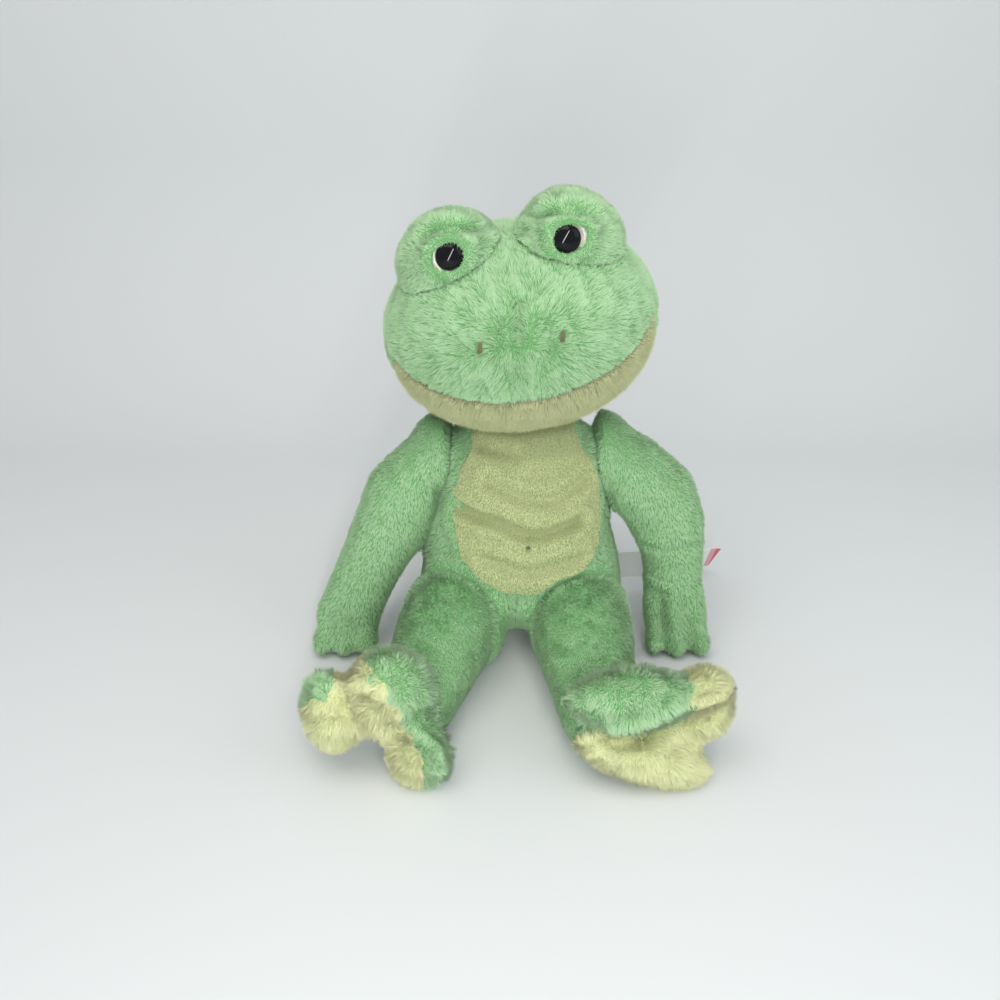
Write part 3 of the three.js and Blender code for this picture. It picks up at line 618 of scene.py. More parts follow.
def cloth_material(name, colour, pitch):
    """Plain-woven cotton or satin: a fine grid of threads that shows as a slight grain"""
    material, tree, shader = new_material(name, {"Roughness": 0.7, "Sheen Weight": 0.2})
    where = add_node(tree, "ShaderNodeTexCoord").outputs["Object"]
    both = add_node(tree, "ShaderNodeMath", {"operation": "MULTIPLY"})
    for socket, direction in zip(both.inputs, ("X", "Z")):
        threads = add_node(tree, "ShaderNodeTexWave", {"bands_direction": direction},
                           {"Scale": 1 / pitch / 3}, {"Vector": where})
        tree.links.new(threads.outputs["Fac"], socket)
    mixed = colour_ramp(tree, both.outputs["Value"], [(0.0, shaded(colour, 0.9)), (0.6, colour)])
    tree.links.new(mixed, shader.inputs["Base Color"])
    return material


def once(name, make, *values):
    """The material of that name, made when it is first asked for"""
    return bpy.data.materials.get(name) or make(name, *values)


def green_pile():
    pile = bpy.context.scene.frog_pile
    return once("green_acrylic_pile", pile_material, pile.green_root, pile.green, pile.green_tip)


def shaded(colour, share):
    return [channel * share for channel in colour]


def between(one, other, share):
    return [a + (b - a) * share for a, b in zip(one, other)]


# Painted shade: the same green fabric made darker for the torso and limbs, its body at 0.93 of the green
# and its tips less lit
def short_green_pile_painted_shade():
    pile = bpy.context.scene.frog_pile
    body = shaded(pile.green, 0.93)
    tip = between(body, pile.green_tip, 0.35)
    return once("green_short_pile", pile_material, shaded(body, 0.8), body, tip)


# Painted light: the same green fabric made lighter, its body mixed a quarter of the way towards the lit tip
# colour
def fluffed_green_pile_painted_light():
    pile = bpy.context.scene.frog_pile
    body = between(pile.green, pile.green_tip, 0.25)
    return once("green_fluffed_pile", pile_material, shaded(pile.green, 0.8), body, pile.green_tip)


# Painted shade and light: the roots are the colour darkened by depth, the tips the colour lightened
def tinted_pile(name, colour, depth=0.6):
    light = [min(1, channel * 1.15 + 0.03) for channel in colour]
    return once(name, pile_material, shaded(colour, depth), colour, light)


# Places on the frog that several pieces follow

def middle_of(node):
    low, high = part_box(node)
    return (low + high) / 2


EYE_OFF = {"left": Vector((-1.3, 0, 1.2)) * MM, "right": Vector((1.8, 0, 2.0)) * MM}
EYES = {side: middle_of(f"pupil_{side}") + EYE_OFF[side] for side in ("left", "right")}
NOSTRILS = {side: middle_of(f"nostril_{side}") for side in ("left", "right")}
SNOUT = np.array((NOSTRILS["left"] + NOSTRILS["right"]) / 2)
NAVEL = middle_of("navel_stitch")
EYE_RADIUS = (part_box("eye_left")[1].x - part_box("eye_left")[0].x) / 2
PUPIL_EDGE = 7.6 * MM
EYE_DEPTH = 15 * MM
STITCH_GAP = 2.2 * MM
EYE_FRONT = {side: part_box(f"eye_{side}")[0].y for side in ("left", "right")}
EYE_BACK = {side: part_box(f"pupil_{side}")[1].y + 1.2 * MM for side in ("left", "right")}


def clear_of_stitches(points):
    """False where a tuft would grow through a nostril or the navel"""
    clear = np.ones(len(points), dtype=bool)
    for place in (*NOSTRILS.values(), NAVEL):
        off = points - np.array(place)
        clear &= np.hypot(off[:, 0], off[:, 2] * 0.7) > STITCH_GAP
    return clear


def clear_of_eyes(points):
    """False over the pupils and behind the discs"""
    clear = np.ones(len(points), dtype=bool)
    for side, eye in EYES.items():
        off = points - np.array(eye)
        inside = np.hypot(off[:, 0], off[:, 2]) < PUPIL_EDGE - 0.4 * MM
        behind = (np.hypot(off[:, 0], off[:, 2]) < EYE_RADIUS) & (points[:, 1] > EYE_BACK[side] - MM)
        clear &= ~((inside | behind) & (off[:, 1] < EYE_DEPTH))
    return clear


# How each region is combed: a direction for each root, and how much of the full length stands there

CALM_FROM_SNOUT = 60 * MM
COMBED_FROM_SNOUT = 45 * MM


def comb_head(points, normals):
    """Away from the middle of the snout, where the pile is longest and stands up"""
    away = points - SNOUT
    reach = np.linalg.norm(away, axis=1)
    calm = np.clip(reach / CALM_FROM_SNOUT, 0, 1)
    strength = np.clip(reach / COMBED_FROM_SNOUT, 0.15, 1)
    return unit(away) * strength[:, None], 1.05 - 0.25 * calm


def comb_down(points, normals):
    return np.tile([0.0, 0.0, -1.0], (len(points), 1)), np.ones(len(points))


def comb_jaw(points, normals):
    """Down, and a little to both sides"""
    way = points - np.array([SNOUT[0], 0, SNOUT[2]])
    way[:, 1] = 0
    way[:, 2] = -np.abs(way[:, 2]) * 3
    return unit(way), np.ones(len(points))


def comb_round_eye(side):
    """Upright and short at the disc's rim, and away from the eye further out"""
    eye = np.array(EYES[side])

    def comb(points, normals):
        away = (points - eye) * (1, 0, 1)
        near = np.linalg.norm(away, axis=1)
        outer = np.clip((near - EYE_RADIUS) / (10 * MM), 0, 1)
        return unit(away) * (0.25 + 0.6 * outer)[:, None], 0.6 + 0.4 * outer
    return comb


def comb_limb(start, end):
    way = np.array(end) - np.array(start)

    def comb(points, normals):
        return np.tile(unit(way), (len(points), 1)), np.ones(len(points))
    return comb


# The middles of the toes, in millimetres, for the combing
TOES = {
    "left": [(44, -140, 50), (72, -140, 54), (104, -138, 45), (70, -150, 22)],
    "right": [(-114, -140, 42), (-80, -138, 52), (-62, -148, 18)],
}
TOE_REACH = 24 * MM
SEAM_REACH = 7 * MM


def comb_foot(side):
    """Fluffed outwards from the middle of the nearest toe"""
    toes = np.array(TOES[side]) * MM

    def comb(points, normals):
        off = points[:, None] - toes[None]
        near = np.exp(-(np.linalg.norm(off, axis=2) / TOE_REACH) ** 2)[:, :, None]
        return unit((unit(off) * near).sum(axis=1)), np.ones(len(points))
    return comb


def over_seams(comb, nodes, share=1.0):
    """The same combing, but leaning over the seam wherever one of the other solids is near"""
    tree = tree_of(nodes)

    def combing(points, normals):
        direction, reach = comb(points, normals)
        found = [tree.find_nearest(Vector(point), SEAM_REACH) for point in points]
        seams = np.array([point if place is None else place for point, (place, *_) in zip(points, found)])
        over = seams - points
        away = np.linalg.norm(over, axis=1, keepdims=True)
        close = share * np.where(away > 0, np.clip(1.3 - away / SEAM_REACH, 0, 1), 0)
        return direction * (1 - close) + unit(over) * close * 1.4, reach * (1 + 0.45 * close[:, 0])
    return combing


# Operators, one for each group of like pieces

# The paper sweep in metres: y and z of its front, its bend and its top
SWEEP = ((-1.4, 0), (0.62, 0), (0.62, 1.9))
SWEEP_HALF_WIDTH = 1.6
SWEEP_BEND = 0.3


class FROG_OT_stage(Operator):
    """Lay a pale paper sweep and set soft studio light and the camera"""
    bl_idname = "frog.stage"
    bl_label = "Stage"

    def execute(self, context):
        stage = context.scene.frog_stage
        paper, tree, shader = new_material("matt_paper", {
            "Base Color": rgba(stage.paper), "Roughness": 0.9, "Specular IOR Level": 0.1})
        bm = bmesh.new()
        corners = [bm.verts.new((-SWEEP_HALF_WIDTH, y, z)) for y, z in SWEEP]
        edges = [bm.edges.new(pair) for pair in zip(corners, corners[1:])]
        swept = bmesh.ops.extrude_edge_only(bm, edges=edges)["geom"]
        moved = [item for item in swept if isinstance(item, bmesh.types.BMVert)]
        bmesh.ops.translate(bm, vec=(2 * SWEEP_HALF_WIDTH, 0, 0), verts=moved)
        bend = SWEEP[1][0]
        fold_line = [e for e in bm.edges if all(abs(v.co.y - bend) < MM and v.co.z < MM for v in e.verts)]
        bmesh.ops.bevel(bm, geom=fold_line, offset=SWEEP_BEND, offset_type="OFFSET", segments=16,
                        profile=0.5, affect="EDGES", material=-1)
        bmesh.ops.recalc_face_normals(bm, faces=bm.faces)
        mesh = mesh_of(bm, "paper_sweep")
        smooth_faces(mesh)
        mesh.materials.append(paper)
        sweep = link("paper_sweep", mesh)
        sweep.location.z = -0.05 * MM
        self.add_lamp("key", (-0.2, -0.5, 1.3), (0, 0, 0.15), 6.5, (1.1, 0.8), "#FFFBF4")
        self.add_lamp("fill", (0.9, -0.5, 0.7), (0, 0, 0.15), 1.8, (0.8, 0.8), "#F4F8FF")
        self.add_lamp("window", (0.02, -0.75, 0.37), (-0.01, 0, 0.28), 3.4, (0.045, 0.85), "#FFFFFF", -28)
        world = bpy.data.worlds.new("studio")
        world.use_nodes = True
        background = world.node_tree.nodes["Background"]
        background.inputs["Color"].default_value = rgba(linear("#F7F9FA"))
        background.inputs["Strength"].default_value = 0.64
        context.scene.world = world
        camera = bpy.data.cameras.new("camera")
        camera.lens = stage.lens
        camera.clip_start = 0.01
        eye = bpy.data.objects.new("camera", camera)
        eye.location = stage.camera_at
        eye.rotation_euler = (math.pi / 2 - stage.tilt, 0, 0)
        context.scene.collection.objects.link(eye)
        context.scene.camera = eye
        context.scene.view_settings.view_transform = "Standard"
        return {"FINISHED"}

    @staticmethod
    def add_lamp(name, place, target, power, size, colour, roll=0):
        lamp = bpy.data.lights.new(name, "AREA")
        lamp.shape = "RECTANGLE"
        lamp.size, lamp.size_y = size
        lamp.energy = power
        lamp.color = linear(colour)
        holder = bpy.data.objects.new(name, lamp)
        way = Vector(target) - Vector(place)
        turn = way.to_track_quat("-Z", "Y").to_matrix().to_4x4()
        holder.matrix_world = Matrix.Translation(place) @ turn @ Matrix.Rotation(math.radians(roll), 4, "Z")
        bpy.context.scene.collection.objects.link(holder)


def declare(piece, body, nodes):
    """Hides the solids that a piece stands for, and sets it on the body that it rides on"""
    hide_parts(*nodes)
    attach(piece, body)


def dress(name, skin, colour, coats, body, slot, nodes):
    piece = skin.piece
    piece.data.materials.clear()
    # The backing's colour is painted shade: the pile's colour darkened for the shade under the tufts
    piece.data.materials.append(once(f"{slot}_backing", backing_material, colour))
    declare(piece, body, nodes)
    for pile_name, coat, material, keep in coats:
        grow_pile(pile_name, skin, coat, material, body, keep)


# How far back from the nostrils the fine pile of the face reaches
FACE_DEPTH = 62 * MM
SNOUT_DIMPLE = [([(-6, 258), (-5.6, 248), (-4.3, 236)], 2.5, 3, 0.6)]


class FROG_OT_head(Operator):
    """Make the head with its long radiating pile, and the jaw panel below the mouth seam"""
    bl_idname = "frog.head"
    bl_label = "Head and jaw"

    def execute(self, context):
        pile = context.scene.frog_pile
        back = context.scene.frog_skin.set_back

        skin = make_skin(
            "head_skin", ["head", "eye_washer_left", "eye_washer_right"],
            ["jaw", "eye_mound_left", "eye_mound_right"], ["torso", "belly_panel"], back,
            shape=folded(SNOUT_DIMPLE))
        fine = Coat(pile.head, 0.45, 2.0, 11, comb_head, ((6, 0.3, 0.05), (50, 0.3, 0.05)), 0.62, 0.45)
        plain = Coat(pile.head, 0.45, 0.7, 14, comb_head, ((5, 0.3, 0.05), (30, 0.25, 0.05)), 1.15, 0.35)
        front = SNOUT[1] + FACE_DEPTH
        dress("head", skin, pile.green_root, [
            ("snout_pile", fine, green_pile(), lambda p: (p[:, 1] < front) & clear_of_stitches(p)),
            ("crown_pile", plain, fluffed_green_pile_painted_light(), lambda p: p[:, 1] >= front),
        ], "head", "green_pile", ["head"])
        jaw = make_skin("jaw_skin", ["jaw"], ["head"], ["torso", "belly_panel"], back * 0.6,
                        fineness=3 * MM, smooth=2)
        coat = Coat(pile.jaw, 0.5, 1.6, 12, comb_jaw, ((5, 0.25, 0.03), (25, 0.15, 0.03)), 0.7, 0.25)
        dress("jaw", jaw, shaded(pile.jaw_green, 0.5), [
            ("jaw_pile", coat, tinted_pile("beige_acrylic_pile", pile.jaw_green), None),
        ], "head", "jaw_pile", ["jaw"])
        return {"FINISHED"}


HEAD_ROLL = math.radians(8.5)
LID = 1.2 * MM
LID_FALL = 7 * MM
BROW = 4.5 * MM
BROW_RISE = 22 * MM
BROW_HALF_WIDTH = 24 * MM
BROW_HALF_HEIGHT = 11 * MM
CROWN_START = 12 * MM
RIM_SHOWN = 2.1 * MM
# How far past the disc's edge and behind its seat a lid reaches, and over what length it fades
LID_REACH = 9 * MM
LID_DEPTH = 11 * MM
LID_FADE = 5 * MM
CROWN_RISE = {"left": 2.4 * MM, "right": 0.8 * MM}
CREASE_SIZES = (4.5, 2.0, 1)
# The crease under each brow, from the middle of the eye, and the side where the disc shows
BROW_CREASE = {
    "left": [(-30, 10), (-19, 9), (-10, 13), (0, 15), (10, 13), (16, 9)],
    "right": [(-15, 9), (-10, 13), (0, 15), (10, 13.5), (19, 12), (30, 12)],
}
OPEN_SIDE = {"left": 1, "right": -1}


def shape_mound(points, normals, side):
    """Brings lids over the disc's rim, folds the skin above them, and hangs the brow over the fold"""
    eye = EYES[side]
    across = points[:, 0] - eye.x
    up = points[:, 2] - eye.z - across * math.tan(HEAD_ROLL)
    facing = np.clip(0.5 - normals[:, 1], 0, 1)
    off = np.hypot(across, up)
    shown = np.clip((across * OPEN_SIDE[side] / np.maximum(off, MM) - 0.55) * 3, 0, 1)
    edge = PUPIL_EDGE + RIM_SHOWN * shown
    shaped = points.copy()
    above = (up - BROW_RISE) / BROW_HALF_HEIGHT
    shaped[:, 1] -= BROW * np.exp(-above ** 2) * np.exp(-(across / BROW_HALF_WIDTH) ** 2) * facing
    shaped[:, 2] += CROWN_RISE[side] * np.clip(up / CROWN_START - 1, 0, 1)
    collar = EYE_FRONT[side] - LID + np.maximum(off - edge - 2 * MM, 0) ** 2 / (2 * LID_FALL)
    lids = np.clip((EYE_RADIUS + LID_REACH - off) / LID_FADE, 0, 1) * (normals[:, 1] < 0.2)
    lids *= np.clip((EYE_BACK[side] + LID_DEPTH - points[:, 1]) / LID_FADE, 0, 1)
    shaped[:, 1] += np.minimum(collar - shaped[:, 1], 0) * lids
    crease = [(eye.x / MM + dx, eye.z / MM + dz) for dx, dz in BROW_CREASE[side]]
    shaped = folded([(crease, *CREASE_SIZES)])(shaped, normals)
    rim = (lids > 0.5) & (off < EYE_RADIUS + 1 * MM)
    shaped[rim, 1] = np.minimum(shaped[rim, 1], collar[rim])
    inside = off < edge
    shaped[inside, 1] = np.maximum(points[inside, 1], EYE_BACK[side])
    return shaped


class FROG_OT_mounds(Operator):
    """Make the two stuffed mounds that carry the eyes, each with the fold of its brow"""
    bl_idname = "frog.mounds"
    bl_label = "Eye mounds"

    def execute(self, context):
        pile = context.scene.frog_pile
        for seed, (side, other) in enumerate((("left", "right"), ("right", "left"))):
            node = f"eye_mound_{side}"

            def shape(points, normals, side=side):
                return shape_mound(points, normals, side)

            skin = make_skin(
                f"{node}_skin", [node, f"eye_{side}", f"eye_washer_{side}"],
                ["head", f"eye_mound_{other}"], [], context.scene.frog_skin.set_back * 0.85,
                fineness=2.2 * MM, shape=shape, smooth=6)
            clumps = ((5, 0.3, 0.05), (30, 0.2, 0.05))
            coat = Coat(pile.mound, 0.5, 1.9, 21 + seed, comb_round_eye(side), clumps, 0.65, 0.35)
            dress(node, skin, pile.green_root, [
                (f"{node}_pile", coat, fluffed_green_pile_painted_light(), clear_of_eyes)], "head", "green_pile", [node])
        return {"FINISHED"}


FULL_HALF_HEIGHT = 26 * MM
FULL_FRONT = 45 * MM
FULL_FADE = 15 * MM


def full_side(points, normals, side, height, amount):
    """Fills a form out to one side, most at one height, but not its front"""
    share = np.clip(normals[:, 0] * side * 1.6 - 0.6, 0, 1)
    share *= np.exp(-((points[:, 2] - height) / FULL_HALF_HEIGHT) ** 2)
    share *= np.clip((points[:, 1] + FULL_FRONT) / FULL_FADE, 0, 1)
    points[:, 0] += side * amount * share
    return points


def full_sides(points, normals):
    """The torso's slumped sides, fuller on the frog's right"""
    return full_side(full_side(points, normals, -1, 100 * MM, 6 * MM), normals, 1, 125 * MM, 3 * MM)


BODY_CLUMPS = ((5, 0.2, 0.03), (50, 0.1, 0.05))


class FROG_OT_torso(Operator):
    """Make the torso and the pouch of pellets in its seat"""
    bl_idname = "frog.torso"
    bl_label = "Torso"

    def execute(self, context):
        pile = context.scene.frog_pile
        skin = make_skin(
            "torso_skin", ["torso", "pellet_bag"], ["belly_panel"],
            ["arm_left", "arm_right", "leg_left", "leg_right", "head", "jaw"],
            context.scene.frog_skin.set_back,
            shape=full_sides)
        combing = over_seams(comb_down, ["arm_left", "arm_right"], 0.8)
        coat = Coat(pile.body, 0.5, 0.7, 31, combing, BODY_CLUMPS, 1.4, 0.2)
        dress("torso", skin, pile.green_root, [("torso_pile", coat, short_green_pile_painted_shade(), None)],
              "torso", "green_pile", ["torso"])
        pouch = make_skin("pellet_pouch", ["pellet_bag"], [], [], 0.5 * MM, fineness=3 * MM, smooth=1).piece
        pouch.data.materials.append(once("cotton_pouch", cloth_material, linear("#D8D4C8"), 1.2 * MM))
        declare(pouch, "torso", ["pellet_bag"])
        return {"FINISHED"}


BELLY_FOLDS = [
    ([(-27, 159), (-5, 155)], 1.2, 4.0, 0.6),
    ([(-23, 138), (0, 128.5), (20, 126.5), (41, 138)], 2.4, 4.2, 1.6),
    ([(-47, 119), (-35, 115), (-18, 112.5), (2, 104), (18, 105), (37, 110)], 4.0, 4.0, 2.4),
    ([(-26, 86), (2.5, 78), (38, 84)], 2.4, 4.0, 1.4),
]


class FROG_OT_belly(Operator):
    """Make the belly panel of short velour, with the wrinkles of the slumped body"""
    bl_idname = "frog.belly"
    bl_label = "Belly panel"

    def execute(self, context):
        pile = context.scene.frog_pile

        skin = make_skin(
            "belly_skin", ["belly_panel"], ["torso"], ["head", "jaw", "leg_left", "leg_right"],
            1.2 * MM, fineness=1.6 * MM, shape=folded(BELLY_FOLDS), smooth=3)
        coat = Coat(pile.belly, 0.55, 2.2, 41, comb_down, ((8, 0.2, 0.02),), 0.85, 0.12)
        velour = tinted_pile("yellow_green_velour", pile.belly_green, 0.92)
        dress("belly", skin, shaded(pile.belly_green, 0.6), [
            ("belly_pile", coat, velour, clear_of_stitches),
        ], "torso", "belly_pile", ["belly_panel"])
        return {"FINISHED"}


# Creases of the arms, and the valleys between the fingers
ARM_FOLDS = {
    "left": [
        ([(84, 81), (98, 80), (112, 83), (126, 84)], 1.8, 2.2, 0.8),
        ([(87, 58), (106, 56)], 1.4, 2.0, 0.6),
        ([(97, 46), (99, 24), (101, 0)], 2.6, 4.5, 1.4),
        ([(115, 40), (118, 20), (120, 0)], 2.6, 4.5, 1.4),
    ],
    "right": [
        ([(-122, 30), (-118, 14), (-118, 0)], 1.4, 4.0, 0.6),
        ([(-137, 30), (-136, 14), (-136, 0)], 1.4, 4.0, 0.6),
    ],
}


def dress_limb(node, skin, combing, seed, density, width):
    """Covers an arm or a leg in short pile that leans over its seam with the torso"""
    pile = bpy.context.scene.frog_pile
    coat = Coat(pile.body, 0.5, density, seed, over_seams(combing, ["torso"], 0.8), BODY_CLUMPS, width, 0.2)
    dress(node, skin, pile.green_root, [(f"{node}_pile", coat, short_green_pile_painted_shade(), None)],
          node, "green_pile", [node])


class FROG_OT_arms(Operator):
    """Make the arms, with their creases and the valleys between the fingers"""
    bl_idname = "frog.arms"
    bl_label = "Arms"

    def execute(self, context):
        def full_right(points, normals):
            return full_side(folded(ARM_FOLDS["right"])(points, normals), normals, 1, 105 * MM, 3 * MM)

        shapes = {"left": folded(ARM_FOLDS["left"]), "right": full_right}
        for side, seed in (("left", 51), ("right", 52)):
            node = f"arm_{side}"
            low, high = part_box(node)
            skin = make_skin(f"{node}_skin", [node], [], ["torso", "head"],
                             context.scene.frog_skin.set_back * 0.8, fineness=3 * MM,
                             shape=shapes[side], smooth=9)
            start = ((low.x + high.x) / 2 * 0.8, 0, high.z)
            end = ((low.x + high.x) / 2 * 1.1, low.y, low.z)
            dress_limb(node, skin, comb_limb(start, end), seed, 0.8, 1.3)
        return {"FINISHED"}


class FROG_OT_legs(Operator):
    """Make the legs, combed towards the feet"""
    bl_idname = "frog.legs"
    bl_label = "Legs"

    def execute(self, context):
        for side, seed in (("left", 61), ("right", 62)):
            node = f"leg_{side}"
            low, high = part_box(node)
            beside = ["torso", "belly_panel", f"foot_{side}", f"sole_{side}"]
            skin = make_skin(f"{node}_skin", [node], [], beside, context.scene.frog_skin.set_back, smooth=8)
            combing = comb_limb((0, high.y, high.z), (0, low.y, high.z * 0.7))
            dress_limb(node, skin, combing, seed, 0.9, 1.2)
        return {"FINISHED"}


# Rounded patches of pile on the fronts of the feet, in millimetres: lean is x gained per height
Patch = namedtuple("Patch", "x z half_width half_height lean")
RIGHT_YELLOW = [Patch(-117, 30, 15, 26, 0), Patch(-91, 44, 23, 31, -0.1), Patch(-75, 8, 15, 33, 0.15)]
LEFT_YELLOW = [Patch(111, 43, 20, 27, -0.1)]
LEFT_GREEN = [Patch(54, 58, 43, 23, 0)]
FOOT_FRONT = -118 * MM
RAGGED_SIZE = 9 * MM
RAGGED = 1.2 * MM
FOOT_CLUMPS = ((6, 0.3, 0.05), (40, 0.25, 0.05))
FOOT_FOLDS = {
    "left": [([(18, 50), (33, 40), (51, 33), (68, 33.4), (85, 38), (99, 43), (106, 49)], 4.5, 4.0, 1.0)],
    "right": [],
}


def within(points, patches):
    """True for points that lie inside one of the patches, as seen from the front"""
    x, z = points[:, 0] / MM, points[:, 2] / MM
    inside = np.zeros(len(points), dtype=bool)
    for patch in patches:
        height = (z - patch.z) / patch.half_height
        width = (x - patch.x - patch.lean * (z - patch.z)) / patch.half_width
        inside |= np.hypot(width, height) < 1
    return inside


def patched(patches, inside=True):
    """A test of which roots on the front of a foot lie in some patches, or outside them, raggedly"""
    def test(points):
        ragged = points + Ripple(7, RAGGED_SIZE).slope(points) * RAGGED
        return (points[:, 1] < FOOT_FRONT) & (within(ragged, patches) == inside)
    return test


# Where yellow pile grows on the green half of a foot, and green pile on its sole
YELLOW_ABOVE = {"left": patched(LEFT_YELLOW), "right": patched(RIGHT_YELLOW)}
GREEN_BELOW = {"left": patched(LEFT_GREEN), "right": patched(RIGHT_YELLOW, inside=False)}


def back_patches(skin, slot, colour, test):
    """Colours the backing under patches of another pile like that pile's backing, in its painted shade"""
    mesh = skin.piece.data
    mesh.materials.append(once(f"{slot}_backing", backing_material, colour))
    centres = np.array([polygon.center[:] for polygon in mesh.polygons])
    for polygon, inside in zip(mesh.polygons, test(centres)):
        polygon.material_index = int(inside)


class FROG_OT_feet(Operator):
    """Make the feet and their soles, with long fluffed pile"""
    bl_idname = "frog.feet"
    bl_label = "Feet and soles"

    def execute(self, context):
        pile = context.scene.frog_pile
        back = context.scene.frog_skin.set_back
        # The last of each is its backing's colour: the pile's colour in painted shade
        green = (fluffed_green_pile_painted_light(), "green_pile", pile.green_root)
        yellow = (tinted_pile("yellow_acrylic_pile", pile.sole_green, 0.8), "sole_pile",
                  shaded(pile.sole_green, 0.8))
        for side, seed in (("left", 71), ("right", 75)):
            foot, sole = f"foot_{side}", f"sole_{side}"
            for node, other, patch, test, main, second in (
                (foot, sole, f"{foot}_front_pile", YELLOW_ABOVE[side], green, yellow),
                (sole, foot, f"{sole}_rim_pile", GREEN_BELOW[side], yellow, green),
            ):
                skin = make_skin(f"{node}_skin", [node], [other], [f"leg_{side}"], back * 1.2,
                                 fineness=3 * MM, shape=folded(FOOT_FOLDS[side]), smooth=2)
                combing = over_seams(comb_foot(side), [other])
                coat = Coat(pile.foot, 0.5, 2.0, seed, combing, FOOT_CLUMPS, 0.65, 0.35)
                dress(node, skin, main[2], [
                    (f"{node}_pile", coat, main[0], lambda roots, test=test: ~test(roots)),
                    (patch, coat, second[0], test),
                ], foot, main[1], [node])
                back_patches(skin, *second[1:], test)
                seed += 2
        return {"FINISHED"}


def smooth_part(name, bm, material, body, nodes):
    """Ends a bmesh as one smooth piece of one material"""
    mesh = mesh_of(bm, name)
    smooth_faces(mesh)
    mesh.materials.append(material)
    declare(link(name, mesh), body, nodes)


def spun(name, profile, place, material, body, nodes):
    """Spins a profile of (radius, forward) points about the line that runs forward through a place"""
    bm = bmesh.new()
    verts = [bm.verts.new((radius, -forward, 0)) for radius, forward in profile]
    edges = [bm.edges.new(pair) for pair in zip(verts, verts[1:])]
    bmesh.ops.spin(bm, geom=verts + edges, cent=(0, 0, 0), axis=(0, 1, 0), angle=2 * math.pi, steps=64,
                   use_merge=True)
    bmesh.ops.remove_doubles(bm, verts=bm.verts, dist=MERGED)
    bmesh.ops.recalc_face_normals(bm, faces=bm.faces)
    bmesh.ops.translate(bm, vec=place, verts=bm.verts)
    smooth_part(name, bm, material, body, nodes)


def arc(radius, height, base, steps, start=0.0):
    """Points of a dome from its rim to its top"""
    turns = [start + (math.pi / 2 - start) * step / steps for step in range(steps + 1)]
    return [(radius * math.cos(turn), base + height * math.sin(turn)) for turn in turns]


SHANK_RADIUS = 3 * MM
# The rolled rim of a disc, in millimetres inward from its edge and behind its front
DISC_RIM = ((0.6, 2.6), (0, 2.1), (0, 1.5), (0.25, 0.8), (0.9, 0.2), (1.8, 0), (2.4, 0.15), (2.6, 1.4))


class FROG_OT_eyes(Operator):
    """Make the moulded cream discs, the glossy domes and the washers behind them"""
    bl_idname = "frog.eyes"
    bl_label = "Eyes"

    def execute(self, context):
        parts = context.scene.frog_parts
        cream = once("cream_abs", moulded_material, parts.cream, 0.28, 0.3)
        black = once("black_abs", moulded_material, parts.black, 0.05, 0.0, 0.25)
        white = once("white_polypropylene", moulded_material, linear("#DEDEDE"), 0.45)
        for side, shift in (("left", -parts.pupil_shift), ("right", 0.0)):
            low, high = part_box(f"eye_{side}")
            place = Vector((EYES[side].x, 0, EYES[side].z))
            front = -low.y
            tail = -high.y
            rim = EYE_RADIUS - 1.2 * MM
            neck = SHANK_RADIUS
            disc = [(0, tail), (neck * 0.6, tail), (neck, tail + neck), (neck, front - DISC_RIM[0][1] * MM)]
            disc += [(rim - inward * MM, front - behind * MM) for inward, behind in DISC_RIM]
            disc.append((0, disc[-1][1]))
            spun(f"eye_disc_{side}", disc, place, cream, "head", [f"eye_{side}"])
            dome_low, dome_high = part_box(f"pupil_{side}")
            base = -dome_high.y
            radius = parts.pupil_radius
            dome = [(0, base), (radius, base)] + arc(radius, -dome_low.y - base - 1 * MM, base + 1 * MM, 14)
            dome[-1] = (0, dome[-1][1])
            spun(f"eye_dome_{side}", dome, place + Vector((shift, 0, 0)), black, "head",
                 [f"pupil_{side}"])
            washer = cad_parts[f"eye_washer_{side}"]
            washer.data.materials.clear()
            washer.data.materials.append(white)
        return {"FINISHED"}


def thread_loop(bm, start, end, rise, radius, sides=8, steps=10):
    """One stitch: a thread that comes up at its start, arches forward and goes down at its end"""
    way = end - start
    across = way.cross(Vector((0, -1, 0))).normalized()
    rings = []
    for step in range(steps + 1):
        turn = math.pi * step / steps
        middle = start + way * (1 - math.cos(turn)) / 2 + Vector((0, -1, 0)) * rise * math.sin(turn)
        along = (way * math.sin(turn) / 2 + Vector((0, -1, 0)) * rise * math.cos(turn)).normalized()
        up = across.cross(along)
        turned = Matrix((across, up, along)).transposed().to_4x4()
        ring = bmesh.ops.create_circle(
            bm, cap_ends=step in (0, steps), segments=sides, radius=radius,
            matrix=Matrix.Translation(middle) @ turned)["verts"]
        rings.append(list({edge for vert in ring for edge in vert.link_edges}))
    for one, other in zip(rings, rings[1:]):
        bmesh.ops.bridge_loops(bm, edges=one + other)


def stitches(name, place, ends, radius, material, body, nodes):
    bm = bmesh.new()
    for (x0, z0), (x1, z1), rise in ends:
        start = place + Vector((x0 * MM, 2 * MM, z0 * MM))
        end = place + Vector((x1 * MM, 2 * MM, z1 * MM))
        thread_loop(bm, start, end, rise * MM, radius)
    bmesh.ops.recalc_face_normals(bm, faces=bm.faces)
    smooth_part(name, bm, material, body, nodes)


# The threads of a stitch in millimetres: x and z of both ends from its middle, and how far it rises
NOSTRIL_THREADS = [
    ((-0.9, -2.6), (-0.5, 2.6), 4.0), ((-0.1, -2.9), (0.2, 2.9), 4.4), ((0.8, -2.5), (0.9, 2.5), 4.0)]
KNOT_THREADS = [
    ((-1.6, -0.5), (1.6, 0.5), 2.8), ((-1.5, 0.7), (1.5, -0.7), 3.2), ((-0.2, -1.4), (0.2, 1.4), 3.0)]


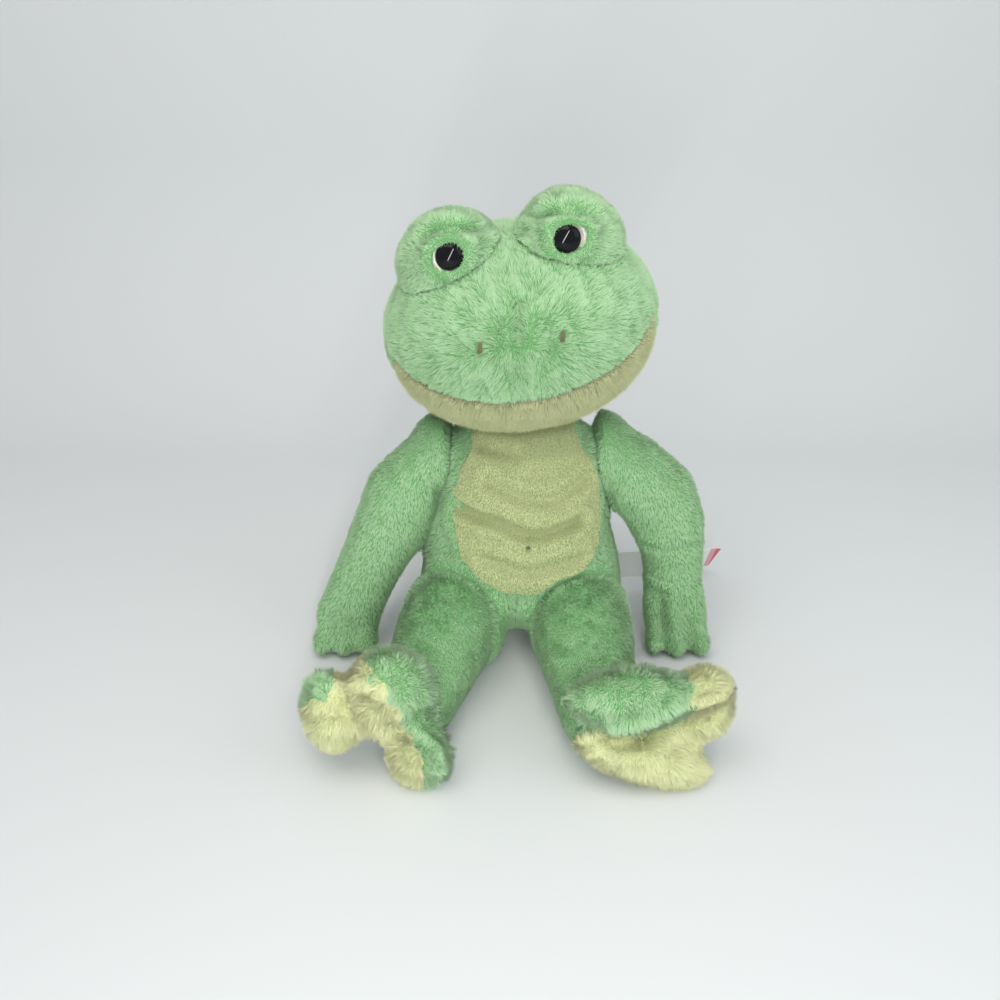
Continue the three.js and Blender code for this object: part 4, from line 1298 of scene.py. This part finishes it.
class FROG_OT_stitches(Operator):
    """Sew the two nostrils and the knot of the navel"""
    bl_idname = "frog.stitches"
    bl_label = "Stitches"

    def execute(self, context):
        parts = context.scene.frog_parts
        brown = once("brown_embroidery_thread", thread_material, parts.brown)
        olive = once("olive_embroidery_thread", thread_material, parts.olive)
        for side, place in NOSTRILS.items():
            stitches(f"nostril_stitch_{side}", place, NOSTRIL_THREADS, parts.thread, brown,
                     "head", [f"nostril_{side}"])
        stitches("navel_knot", NAVEL, KNOT_THREADS, parts.thread, olive, "torso",
                 ["navel_stitch"])
        return {"FINISHED"}


LABEL_CUTS = 24
LABEL_TURN = math.radians(34)
LABEL_WAVE = 2.5 * MM
LABEL_PITCH = 0.6 * MM
# How far from the label's end its red and its pink reach
RED_END = 6 * MM
PINK_END = 10 * MM


class FROG_OT_label(Operator):
    """Sew in the bare label, a strip of satin that ends in a pink edge and a red band"""
    bl_idname = "frog.label"
    bl_label = "Label"

    def execute(self, context):
        parts = context.scene.frog_parts
        satin, pink, red = (
            once(name, cloth_material, colour, LABEL_PITCH)
            for name, colour in (("white_satin", linear("#F2F1F0")), ("pink_woven_edge", linear("#E9A9B0")),
                                 ("red_woven_band", parts.label_red)))
        low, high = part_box("label")
        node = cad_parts["label"]
        bm = bmesh.new()
        bm.from_mesh(node.data)
        bmesh.ops.remove_doubles(bm, verts=bm.verts, dist=MERGED)
        bmesh.ops.dissolve_limit(bm, angle_limit=0.02, verts=bm.verts, edges=bm.edges)
        for cut in range(1, LABEL_CUTS):
            x = low.x + (high.x - low.x) * cut / LABEL_CUTS
            bmesh.ops.bisect_plane(bm, geom=bm.verts[:] + bm.edges[:] + bm.faces[:],
                                   plane_co=(x, 0, 0), plane_no=(1, 0, 0))
        middle = (low.z + high.z) / 2
        for vert in bm.verts:
            share = (vert.co.x - low.x) / (high.x - low.x)
            turn = LABEL_TURN * min(1, max(0.6, share * 2.5 - 0.8))
            rise = vert.co.z - middle
            vert.co.z = middle + rise * math.cos(turn)
            vert.co.y += LABEL_WAVE * share * math.sin(share * 9) - rise * math.sin(turn)
        mesh = mesh_of(bm, "label_strip")
        for material in (satin, pink, red):
            mesh.materials.append(material)
        for polygon in mesh.polygons:
            polygon.use_smooth = False
            inward = high.x - polygon.center.x
            polygon.material_index = int(inward < RED_END) + int(inward < PINK_END)
        strip = link("label_strip", mesh)
        declare(strip, "torso", ["label"])
        return {"FINISHED"}


class FROG_PT_panel(Panel):
    """Lists the frog's settings and the steps that make it"""
    bl_label = "Plush Frog"
    bl_idname = "FROG_PT_panel"
    bl_space_type = "VIEW_3D"
    bl_region_type = "UI"
    bl_category = "Frog"

    def draw(self, context):
        scene = context.scene
        for group in (scene.frog_stage, scene.frog_pile, scene.frog_skin, scene.frog_parts):
            box = self.layout.box()
            for name in group.bl_rna.properties.keys():
                if name not in ("rna_type", "name"):
                    box.prop(group, name)
        for operator in OPERATORS:
            self.layout.operator(operator.bl_idname)


GROUPS = {
    "frog_pile": FrogPile,
    "frog_skin": FrogSkin,
    "frog_parts": FrogParts,
    "frog_stage": FrogStage,
}
OPERATORS = (
    FROG_OT_stage, FROG_OT_torso, FROG_OT_belly, FROG_OT_head, FROG_OT_mounds, FROG_OT_eyes,
    FROG_OT_stitches, FROG_OT_arms, FROG_OT_legs, FROG_OT_feet, FROG_OT_label,
)


def register():
    for kind in (*GROUPS.values(), *OPERATORS, FROG_PT_panel):
        bpy.utils.register_class(kind)
    for name, group in GROUPS.items():
        setattr(bpy.types.Scene, name, PointerProperty(type=group))


def unregister():
    for name in GROUPS:
        delattr(bpy.types.Scene, name)
    for kind in reversed((*GROUPS.values(), *OPERATORS, FROG_PT_panel)):
        bpy.utils.unregister_class(kind)


def main():
    register()
    for operator in OPERATORS:
        getattr(bpy.ops.frog, operator.bl_idname.split(".")[1])()
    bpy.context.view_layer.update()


if __name__ == "__main__":
    main()
